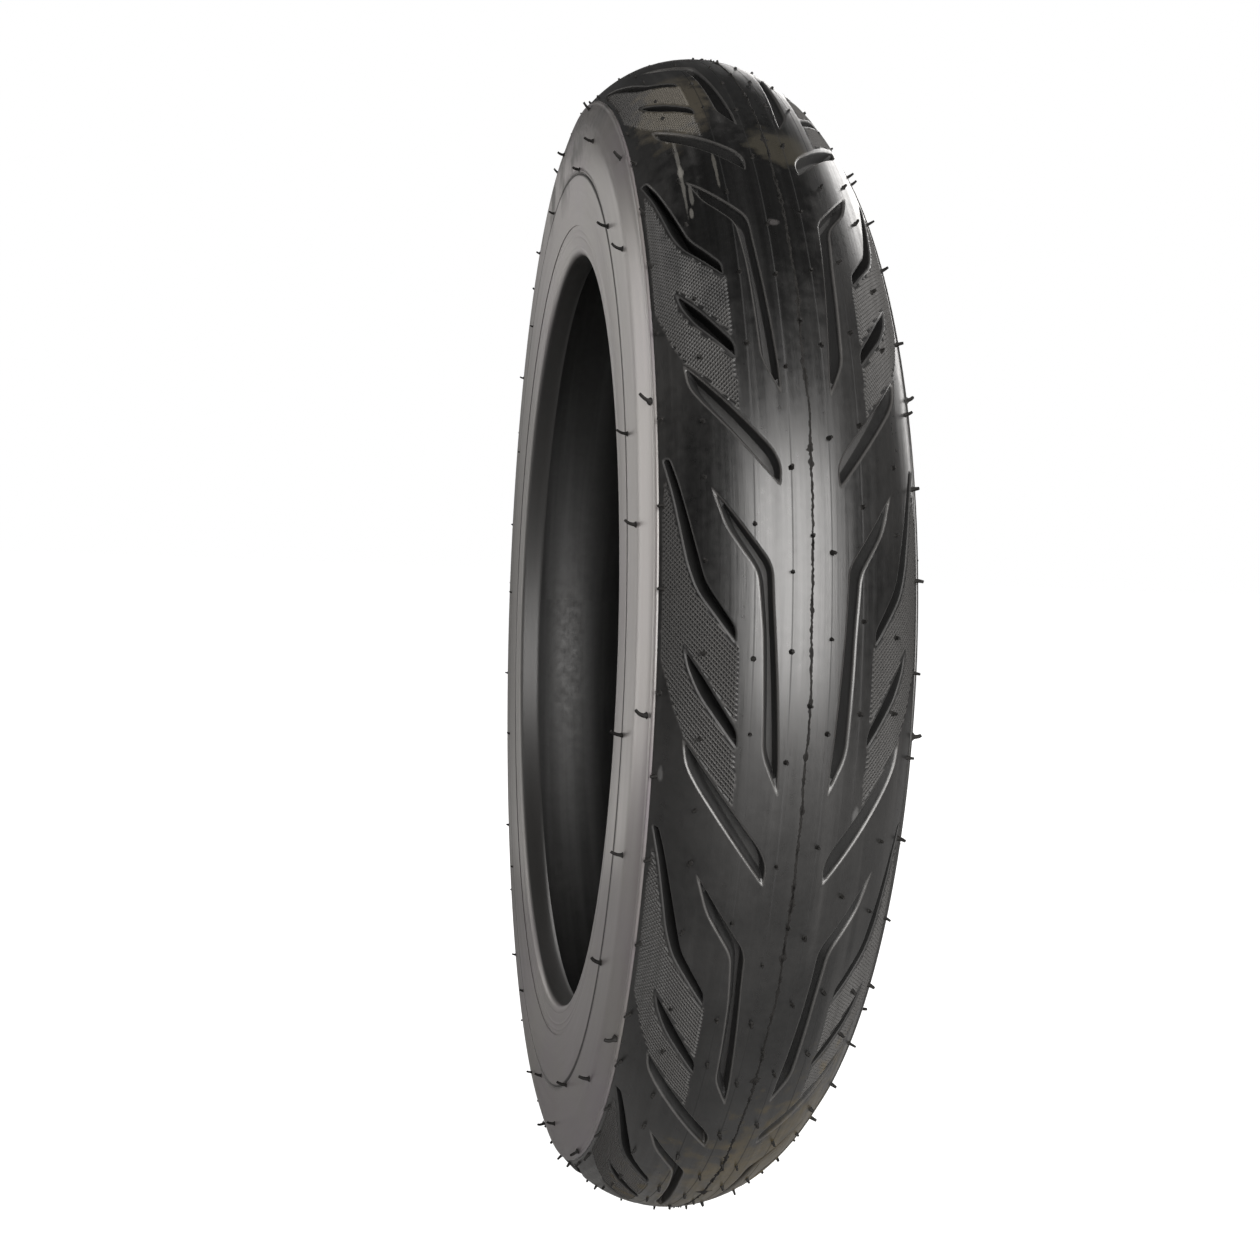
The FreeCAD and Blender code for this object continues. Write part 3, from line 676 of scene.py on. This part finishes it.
def hair_path(foot, way, towards, length, curl):
    """A hair that leaves its foot along way and curls round towards another direction. Its first
    point is under the surface."""
    steps = 7
    sunk = 0.3
    path, here = [foot - way * sunk], foot.copy()
    for k in range(steps + 1):
        path.append(here.copy())
        turned = curl * (k / steps)
        here += (way * math.cos(turned) + towards * math.sin(turned)) * length / steps
    return path


def hair_radii(thick, root, path, taper):
    """Radii along a hair: the root's shares of its thickness, then a slow taper."""
    shares = [*root, *(1 - taper * k for k in range(len(path) - len(root)))]
    return [thick * share for share in shares]


def join(parts):
    """Several (points, faces) as one."""
    points, faces = [], []
    for some, its_faces in parts:
        faces += [tuple(i + len(points) for i in face) for face in its_faces]
        points += [tuple(p) for p in some]
    return points, faces


# Vents on the crown: distance across, and shares of the pitch along; the right half's are a little
# further. Near the top of the tyre the hairs are worn to a share of their length.
TREAD_VENTS = [
    (0.0, (0.02, 0.46)),
    (5.8, (0.14, 0.34, 0.63, 0.89)),
    (16.1, (0.16, 0.34, 0.47, 0.66, 0.95)),
    (28.8, (0.13, 0.39, 0.58, 0.74, 0.95)),
    (39.0, (0.04, 0.3, 0.55, 0.8)),
]
RIGHT_VENTS_SHIFT = 0.06
WORN_ABOVE = 0.75
WORN_SHARE = 0.5
# Vents on each sidewall: distance out, and share of the pitch along.
SIDE_VENTS = [(237.0, -0.09), (227.0, 0.5), (213.0, -0.1)]


def make_tread_hairs(material):
    """Short stubs of rubber along the vent lines, none of them in a groove."""
    outlines = groove_outlines()
    clearance = 1.0
    parts = []
    for across, shares in TREAD_VENTS:
        lean = math.asin(across / CROWN_ARC)
        at_shoulder = across > PANEL[0][0]
        for hand, pitch, share in itertools.product((1, -1) if across else (-1,), range(PITCHES), shares):
            place = pitch + share + random.uniform(-0.02, 0.02) + (RIGHT_VENTS_SHIFT if hand > 0 else 0)
            length = random.uniform(2.0, 2.9) if at_shoulder else random.uniform(1.1, 1.9)
            curl, turn = random.uniform(0, 0.9), random.uniform(0, 2 * math.pi)
            spot = np.array([[round_crown(across), place % 1 * PITCH]])
            if depth_inside(spot, outlines)[0] > -clearance:
                continue
            around = place * 2 * math.pi / PITCHES
            if math.sin(around) > WORN_ABOVE:
                length *= WORN_SHARE
            way = Vector(on_wheel(hand * math.sin(lean), math.cos(lean), around).tolist())
            foot = Vector(on_wheel(0, CROWN_OUT, around).tolist()) + way * CROWN_ARC
            side = way.orthogonal().normalized()
            side = side * math.cos(turn) + way.cross(side) * math.sin(turn)
            path = hair_path(foot, way, side, length, curl)
            parts.append(tube(path, hair_radii(random.uniform(0.5, 0.74), (1.5, 1.3), path, 0.05)))
    points, faces = join(parts)
    make_piece("tread_hairs", points, faces, material, ["tread_vent_spews"], sharp=50.0)


def make_side_hairs(side, material):
    """Longer hairs that leave the sidewall, and curl upwards and a little to one side."""
    hand = SIDES[side]
    parts = []
    for out, share in SIDE_VENTS:
        if out > SHOULDER_CENTRE[1]:
            centre, radius = SHOULDER_CENTRE, SHOULDER_ARC
        else:
            centre, radius = SIDE_CENTRE, SIDE_ARC
        turn = math.asin((out - centre[1]) / radius)
        across = centre[0] + radius * math.cos(turn)
        for number in range(PITCHES):
            around = (number + share + random.uniform(-0.06, 0.06)) * 2 * math.pi / PITCHES
            foot = Vector(on_wheel(hand * across, out + random.uniform(-1.5, 1.5), around).tolist())
            way = Vector(on_wheel(hand * math.cos(turn), math.sin(turn), around).tolist()).normalized()
            aim = Vector((random.uniform(-0.6, 0.6), 0, random.uniform(0.3, 1.0))).normalized()
            if side == "left":
                # Longest at +X, the side that the photo shows.
                length = random.uniform(2.4, 3.6) + 1.5 * math.cos(around)
            else:
                length = random.uniform(1.8, 2.8)
            path = hair_path(foot, way, aim, length, random.uniform(0.5, 1.1))
            parts.append(tube(path, hair_radii(random.uniform(0.52, 0.68), (2.1, 1.9, 1.15), path, 0.04)))
    points, faces = join(parts)
    replaced = [f"sidewall_vent_spews_{side}"]
    make_piece(f"side_hairs_{side}", points, faces, material, replaced, sharp=50.0)


# ---- materials ----


class Nodes:
    """The node tree of a material or a world, with short ways to add and join nodes."""

    def __init__(self, owner, shader):
        owner.use_nodes = True
        self.owner = owner
        self.tree = owner.node_tree
        self.shader = self.tree.nodes[shader]

    def add(self, kind, inputs=(), **settings):
        node = self.tree.nodes.new(f"ShaderNode{kind}")
        for key, setting in settings.items():
            setattr(node, key, setting)
        for key, source in dict(inputs).items():
            self.put(source, node.inputs[key])
        return node

    def put(self, source, socket):
        if isinstance(source, bpy.types.NodeSocket):
            self.tree.links.new(source, socket)
        else:
            socket.default_value = source

    def math(self, operation, first, second=0.0, third=0.0):
        node = self.add("Math", {0: first, 1: second, 2: third}, operation=operation)
        return node.outputs[0]

    def place(self):
        return self.add("TexCoord").outputs["Object"]

    def wheel_place(self, stretch=(1.0, 1.0, 1.0)):
        """Metres round the crown, across and out, each scaled."""
        parts = self.add("SeparateXYZ", {0: self.place()}).outputs
        around = self.math("ARCTAN2", parts["Z"], parts["X"])
        x_squared = self.math("MULTIPLY", parts["X"], parts["X"])
        z_squared = self.math("MULTIPLY", parts["Z"], parts["Z"])
        out = self.math("SQRT", self.math("ADD", x_squared, z_squared))
        scaled = [
            self.math("MULTIPLY", around, OUTER_RADIUS * MM * stretch[0]),
            self.math("MULTIPLY", parts["Y"], stretch[1]),
            self.math("MULTIPLY", out, stretch[2]),
        ]
        return self.add("CombineXYZ", dict(enumerate(scaled))).outputs[0]

    def noise(self, scale, detail, place=None):
        inputs = {"Vector": place or self.place(), "Scale": scale, "Detail": detail, "Roughness": 0.55}
        return self.add("TexNoise", inputs).outputs["Fac"]

    def between(self, amount, low, high, to_low=0.0, to_high=1.0, **settings):
        """The amount's place between low and high, as a number between to_low and to_high."""
        inputs = {"Value": amount, "From Min": low, "From Max": high, "To Min": to_low, "To Max": to_high}
        return self.add("MapRange", inputs, **settings).outputs["Result"]

    def mix(self, amount, first, second):
        return self.add("Mix", {0: amount, 6: first, 7: second}, data_type="RGBA").outputs[2]

    def layer(self, name):
        return self.add("Attribute", attribute_name=name).outputs["Fac"]

    def spot(self, wheel, degrees, across, reach, ragged):
        """1 inside an ellipse on the crown, falling to 0 over a ragged edge."""
        centre = (math.radians(degrees) * OUTER_RADIUS * MM, across * MM, 0)
        away = self.add("VectorMath", {0: wheel, 1: centre}, operation="SUBTRACT").outputs[0]
        scale = (1 / reach[0] / MM, 1 / reach[1] / MM, 0)
        scaled = self.add("VectorMath", {0: away, 1: scale}, operation="MULTIPLY").outputs[0]
        distance = self.add("VectorMath", {0: scaled}, operation="LENGTH").outputs["Value"]
        return self.between(self.math("ADD", distance, ragged), 1.1, 1.5, 1, 0)

    def bump(self, height, distance, strength=1.0, normal=None):
        node = self.add("Bump", {"Height": height, "Distance": distance, "Strength": strength})
        if normal:
            self.put(normal, node.inputs["Normal"])
        return node.outputs["Normal"]

    def finish(self, colour, roughness, normal=None, **constants):
        """Joins up the material's shader, and gives the material."""
        self.put(colour, self.shader.inputs["Base Color"])
        self.put(roughness, self.shader.inputs["Roughness"])
        if normal:
            self.put(normal, self.shader.inputs["Normal"])
        for socket, number in constants.items():
            self.shader.inputs[socket.replace("_", " ")].default_value = number
        return self.owner


def material_nodes(name):
    """The nodes of a new material."""
    return Nodes(bpy.data.materials.new(name), "Principled BSDF")


def grey(level, warmth=0.0):
    """A grey, with its red raised and its blue lowered by a share of it."""
    return level * (1 + warmth), level, level * (1 - warmth), 1.0


STREAK = (0.1, 0.097, 0.09, 1)
DAB = (0.13, 0.125, 0.115, 1)
# Marks on the crown, with a painted shade and a painted reflection among them: degrees round from +X,
# mm across, half-sizes round and across, colour, strength.
MARKS_AND_PAINTED_LIGHT = [
    # Painted shade: a near-black patch over the upper front of the crown, left of the middle.
    (36.5, -10.0, 62.0, 28.0, (0.001, 0.001, 0.001, 1), 0.85),
    (52.5, -24.5, 34.0, 13.0, (0.04, 0.035, 0.026, 1), 0.75),
    (41.8, -28.0, 25.0, 0.6, STREAK, 0.5),
    (46.8, -29.2, 2.0, 0.9, DAB, 0.5),
    (41.9, -27.9, 4.0, 1.0, DAB, 0.5),
    (38.6, -26.3, 5.0, 0.6, STREAK, 0.4),
    (36.8, -27.0, 2.6, 0.6, DAB, 0.4),
    (41.0, -17.9, 12.0, 0.6, (0.07, 0.067, 0.06, 1), 0.5),
    (42.4, -13.0, 2.0, 1.0, (0.08, 0.08, 0.08, 1), 0.5),
    (34.6, -3.9, 1.8, 2.4, (0.06, 0.056, 0.056, 1), 0.4),
    (43.6, 5.0, 12.0, 14.0, (0.03, 0.027, 0.02, 1), 0.6),
    (-4.7, -37.9, 3.2, 0.9, (0.09, 0.09, 0.09, 1), 0.4),
    (-6.8, 17.6, 4.0, 1.4, (0.09, 0.09, 0.09, 1), 0.4),
    # Painted reflection: an olive-brown tint low on the crown's right half.
    (-53.5, 34.0, 110.0, 60.0, (0.036, 0.026, 0.008, 1), 0.9),
]


def tread_material():
    """Black tread rubber: mottled, smeared along the crown, with dried marks on it, a painted shade over the
    upper front and a painted reflection low on the right. The knurled panels have a grey of their own,
    darker towards the shoulder; their pits and the grooves are darkened as painted shade, and the grooves'
    lips are lightened as a painted highlight."""
    n = material_nodes("tread_rubber")
    wheel = n.wheel_place()
    patches = n.noise(22, 5)
    fine = n.noise(420, 6)
    smears = n.noise(45, 5, n.wheel_place((0.12, 2.4, 1.0)))
    lines = n.noise(260, 3, n.wheel_place((0.02, 1.5, 0.0)))
    colour = n.mix(n.between(patches, 0.38, 0.62), grey(0.003), grey(0.01, 0.02))
    colour = n.mix(n.between(fine, 0.3, 0.8, 0, 0.3), colour, grey(0.015, 0.02))
    colour = n.mix(n.between(smears, 0.58, 0.75, 0, 0.3), colour, grey(0.04, 0.02))
    middle = n.math("ABSOLUTE", n.add("SeparateXYZ", {0: n.place()}).outputs["Y"])
    knurled = n.mix(n.between(middle, 0.027, 0.039), grey(0.03, 0.04), grey(0.013, 0.06))
    colour = n.mix(n.layer("knurl"), colour, knurled)
    # Painted shade: the knurl's pits are coloured nearly black.
    colour = n.mix(n.between(n.layer("pit"), 0.05, 0.55), colour, grey(0.003))
    ragged = n.between(n.noise(160, 5), 0.3, 0.7, 0.2, 0.8)
    for degrees, across, long, wide, tint, strength in MARKS_AND_PAINTED_LIGHT:
        spot = n.spot(wheel, degrees, across, (long, wide), ragged)
        colour = n.mix(n.math("MULTIPLY", spot, strength), colour, tint)
    depth = n.layer("depth")
    seams = 0.0
    for line in VENT_LINES:
        away = n.math("ABSOLUTE", n.math("SUBTRACT", middle, line * MM))
        seams = n.math("MAXIMUM", n.between(away, 0.0001, 0.0003, 1, 0), seams)
    seams = n.math("MULTIPLY", seams, n.between(depth, 0.0, 0.1, 1, 0))
    colour = n.mix(n.math("MULTIPLY", seams, 0.7), colour, grey(0.001))
    # Painted highlight: a lighter band along the groove lips.
    lip = n.math("MULTIPLY", n.between(depth, 0.02, 0.1), n.between(depth, 0.3, 0.9, 1, 0))
    colour = n.mix(n.math("MULTIPLY", lip, 0.6), colour, grey(0.05, 0.03))
    # Painted shade: the grooves are coloured nearly black from below the lip downwards.
    colour = n.mix(n.between(depth, 0.4, 1.2, 0, 0.9), colour, grey(0.004))
    colour = n.mix(n.between(depth, 4.5, 5.0, 0, 0.9), colour, grey(0.014, 0.02))
    # Painted shade: the dark grooves and their lips are coloured nearly black.
    shade = n.layer("shade")
    colour = n.mix(n.math("MULTIPLY", shade, 0.9), colour, grey(0.004))
    matt = n.math("MAXIMUM", n.math("MAXIMUM", n.layer("knurl"), shade), n.between(depth, 0.5, 1.5))
    rough = n.math("MULTIPLY_ADD", matt, 0.4, n.between(fine, 0.3, 0.7, 0.26, 0.32))
    uneven = n.math("ADD", n.between(lines, 0.4, 0.65, 0, 0.09), n.between(smears, 0.5, 0.7, 0, 0.06))
    rough = n.math("MULTIPLY_ADD", seams, 0.25, n.math("ADD", rough, uneven))
    normal = n.bump(fine, 0.00003, 0.3, n.bump(lines, 0.0001, 0.6, n.bump(smears, 0.0005, 0.35)))
    return n.finish(colour, rough, normal)


def shaded_groove_material():
    """The walls and floors of the dark grooves: matt and nearly black, a painted shade."""
    n = material_nodes("shaded_groove_rubber")
    colour = n.mix(n.noise(200, 4), grey(0.002), grey(0.006))
    return n.finish(colour, n.between(n.noise(700, 3), 0.3, 0.7, 0.75, 0.9), Specular_IOR_Level=0.1)


def side_material():
    """Smooth sidewall rubber: pale bloom on the left's outside, stained at the top and darkened on the -X
    half as a painted shade; clean black on the right and at the seats. A painted shade darkens the fitting
    line."""
    n = material_nodes("sidewall_rubber")
    patches = n.noise(16, 4)
    streaks = n.noise(70, 5, n.wheel_place((0.08, 2.0, 2.0)))
    fine = n.noise(700, 5)
    colour = n.mix(n.between(patches, 0.35, 0.65), (0.09, 0.084, 0.08, 1), (0.09, 0.079, 0.088, 1))
    colour = n.mix(n.between(streaks, 0.45, 0.75, 0, 0.6), colour, grey(0.13, 0.02))
    out = n.add("SeparateXYZ", {0: n.wheel_place()}).outputs["Z"]
    parts = n.add("SeparateXYZ", {0: n.place()}).outputs
    stains = n.noise(30, 4, n.wheel_place((1.2, 0.0, 1.4)))
    stained = n.math("MULTIPLY", n.between(parts["Z"], 0.195, 0.215), n.between(stains, 0.45, 0.6, 0, 0.95))
    colour = n.mix(stained, colour, grey(0.02))
    # Painted shade: the -X half is coloured darker, and made rougher.
    shaded = n.between(parts["X"], -0.15, 0.0, 1, 0)
    colour = n.mix(shaded, colour, grey(0.035, 0.02))
    # Painted shade: a dark band along the fitting line's groove, made rougher too.
    from_line = n.math("ABSOLUTE", n.math("SUBTRACT", out, FITTING_RADIUS * MM))
    line = n.between(from_line, 0.0005, 0.0012, 0.85, 0)
    colour = n.mix(line, colour, grey(0.006))
    colour = n.mix(n.between(parts["Y"], -0.0395, -0.038), colour, grey(0.014, 0.03))
    rough = n.math("MULTIPLY_ADD", shaded, 0.12, n.between(streaks, 0.3, 0.7, 0.28, 0.38))
    rough = n.math("MULTIPLY_ADD", stained, 0.3, n.math("MULTIPLY_ADD", line, 0.4, rough))
    normal = n.bump(fine, 0.00003, 0.5, n.bump(streaks, 0.0003, 0.25))
    return n.finish(colour, rough, normal)


def liner_material():
    """Matt black liner with the fine cross-hatching of the bladder."""
    n = material_nodes("liner_rubber")
    place = n.wheel_place()
    hatch = n.add("TexWave", {"Vector": place, "Scale": 90.0, "Distortion": 0.6}, bands_direction="DIAGONAL")
    bands = n.noise(120, 3, n.wheel_place((0.03, 1.0, 0.0)))
    colour = n.mix(n.between(n.noise(40, 5), 0.3, 0.7), grey(0.004), grey(0.008, 0.02))
    colour = n.mix(n.between(bands, 0.45, 0.65, 0, 0.6), colour, grey(0.022))
    normal = n.bump(hatch.outputs["Fac"], 0.00004, 0.3, n.bump(n.noise(900, 4), 0.00005, 0.6))
    return n.finish(colour, n.between(n.noise(200, 3), 0.3, 0.7, 0.5, 0.65), normal)


def hair_material():
    """The vent hairs and the flash: dull black."""
    n = material_nodes("hair_rubber")
    colour = n.mix(n.noise(300, 3), grey(0.003), grey(0.008, 0.1))
    return n.finish(colour, n.between(n.noise(900, 2), 0.3, 0.7, 0.7, 0.85), Specular_IOR_Level=0.2)


def casing_material():
    """The rubber inside the tyre: base, breaker edges, beads."""
    n = material_nodes("casing_rubber")
    colour = n.mix(n.between(n.noise(90, 5), 0.3, 0.7), grey(0.015), grey(0.03, 0.03))
    normal = n.bump(n.noise(1200, 4), 0.0001, 0.6)
    return n.finish(colour, n.between(n.noise(250, 4), 0.3, 0.7, 0.5, 0.7), normal)


def cord_material():
    """Rubbered cord fabric: fine parallel cords on a bias."""
    n = material_nodes("ply_fabric")
    weave = {"Vector": n.wheel_place(), "Scale": 160.0, "Distortion": 0.2, "Detail": 1.0}
    shade = n.add("TexWave", weave, bands_direction="DIAGONAL").outputs["Fac"]
    colour = n.mix(shade, grey(0.02), (0.16, 0.11, 0.06, 1))
    colour = n.mix(n.between(n.noise(60, 4), 0.4, 0.7), colour, grey(0.03))
    return n.finish(colour, n.between(n.noise(500, 3), 0.3, 0.7, 0.6, 0.8), n.bump(shade, 0.0003, 0.8))


def wire_material():
    """Bronze-coated bead wire, drawn along its length."""
    n = material_nodes("bead_wire")
    drawn = n.noise(900, 4, n.wheel_place((0.03, 1.0, 1.0)))
    colour = n.mix(drawn, (0.32, 0.2, 0.11, 1), (0.62, 0.43, 0.25, 1))
    rough = n.between(drawn, 0.3, 0.7, 0.22, 0.4)
    return n.finish(colour, rough, n.bump(drawn, 0.00004, 0.4), Metallic=1.0)


# ---- the pieces that are seen ----
pattern = tread_pitch()
tread_rubber, shaded_groove_rubber = tread_material(), shaded_groove_material()
side_rubber, hair_rubber = side_material(), hair_material()
for side in SIDES:
    make_tread(side, pattern, tread_rubber, shaded_groove_rubber)
    make_sidewall(side, side_rubber)
    make_bead_foot(side, side_rubber)
    make_side_hairs(side, hair_rubber)
make_flash(hair_rubber)
make_tread_hairs(hair_rubber)
make_liner(liner_material())

# ---- the carried-over CAD nodes, inside the tyre ----
INNER = [
    (casing_material(), ("tread_base", "breaker_edge_strip", "bead_insulation", "bead_filler")),
    (cord_material(), ("breaker_ply", "carcass_ply", "bead_wrap", "chafer")),
    (wire_material(), ("bead_wires",)),
]
for name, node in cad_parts.items():
    for material, starts in INNER:
        if name.startswith(starts):
            node.data.materials.clear()
            node.data.materials.append(material)

# ---- camera ----
AZIMUTH, ELEVATION, ROLL = (math.radians(a) for a in (78.86, 5.0, 2.45))
DISTANCE = 0.5692
SENSOR_WIDTH = 36.0
LENS = 32.25
SHIFT = (-0.0032, 0.0015)
camera_data = bpy.data.cameras.new("camera")
camera = bpy.data.objects.new("camera", camera_data)
bpy.context.scene.collection.objects.link(camera)
back_level = math.cos(ELEVATION)
back = Vector((math.sin(AZIMUTH) * back_level, -math.cos(AZIMUTH) * back_level, math.sin(ELEVATION)))
level = Vector((math.cos(AZIMUTH), math.sin(AZIMUTH), 0))
above = back.cross(level)
right = level * math.cos(ROLL) + above * math.sin(ROLL)
up = above * math.cos(ROLL) - level * math.sin(ROLL)
camera.matrix_world = Matrix((right, up, back)).transposed().to_4x4()
camera.location = back * DISTANCE
camera_data.sensor_width = SENSOR_WIDTH
camera_data.lens = LENS
camera_data.shift_x, camera_data.shift_y = SHIFT
camera_data.clip_start = 0.01
bpy.context.scene.camera = camera

# ---- floor, world and lights, in metres ----
FLOOR_HALF = 8.0
FLOOR_GAP = 0.0003
FLOOR_GREY = 0.26
FLOOR_GLOW = 0.99
BACKDROP_WAY = (-0.866, -0.5, 0.0)
BACKDROP_EDGE = (0.6, 0.9)
FRONT_LEVEL, BACK_LEVEL = 0.055, 0.11


def make_floor():
    """A pale floor just under the tyre. The camera sees it nearly white, like the backdrop."""
    mesh = bpy.data.meshes.new("floor")
    height = -OUTER_RADIUS * MM - FLOOR_GAP
    corners = [(-1, -1), (1, -1), (1, 1), (-1, 1)]
    mesh.from_pydata([(x * FLOOR_HALF, y * FLOOR_HALF, height) for x, y in corners], [], [(0, 1, 2, 3)])
    floor = bpy.data.objects.new("floor", mesh)
    bpy.context.scene.collection.objects.link(floor)
    n = material_nodes("floor")
    seen = n.add("LightPath").outputs["Is Camera Ray"]
    n.put(n.math("MULTIPLY", seen, FLOOR_GLOW), n.shader.inputs["Emission Strength"])
    mesh.materials.append(n.finish(grey(FLOOR_GREY), 0.9, Emission_Color=grey(1.0)))


def make_world():
    """White to the camera; for light, a bright backdrop behind the tyre that fades to the front."""
    world = bpy.data.worlds.new("studio")
    bpy.context.scene.world = world
    n = Nodes(world, "Background")
    direction = n.add("TexCoord").outputs["Generated"]
    towards = n.add("VectorMath", {0: direction, 1: BACKDROP_WAY}, operation="DOT_PRODUCT").outputs["Value"]
    level = n.between(towards, *BACKDROP_EDGE, FRONT_LEVEL, BACK_LEVEL, interpolation_type="SMOOTHSTEP")
    seen = n.add("LightPath").outputs["Is Camera Ray"]
    n.put(n.add("Mix", {0: seen, 2: level, 3: 1.0}).outputs[0], n.shader.inputs["Strength"])
    n.put((1, 1, 1, 1), n.shader.inputs["Color"])


def make_light(name, place, aim, size, power, warmth):
    """A soft box at a place, facing the point that it is aimed at."""
    data = bpy.data.lights.new(name, "AREA")
    data.shape = "RECTANGLE"
    data.size, data.size_y = size
    data.energy = power
    data.color = grey(1.0, warmth)[:3]
    light = bpy.data.objects.new(name, data)
    bpy.context.scene.collection.objects.link(light)
    light.visible_camera = False
    light.location = place
    light.rotation_euler = (Vector(place) - Vector(aim)).to_track_quat("Z", "Y").to_euler()


make_floor()
make_world()
make_light("key", (1.46, 0.15, 0.39), (0, 0, 0), (1.5, 1.08), 61, 0.02)
make_light("side_panel", (-0.41, -0.78, 0.06), (0.2, -0.05, 0.05), (0.56, 1.1), 8.0, 0.04)
make_light("rim_panel", (-0.36, -0.19, 0.06), (0.4, -0.19, 0.06), (0.12, 0.56), 0.3, 0.04)
make_light("back_fill", (-1.1, 1.0, 0.7), (0, 0, 0), (1.2, 1.2), 20, 0.02)
bpy.context.scene.view_settings.view_transform = "Standard"
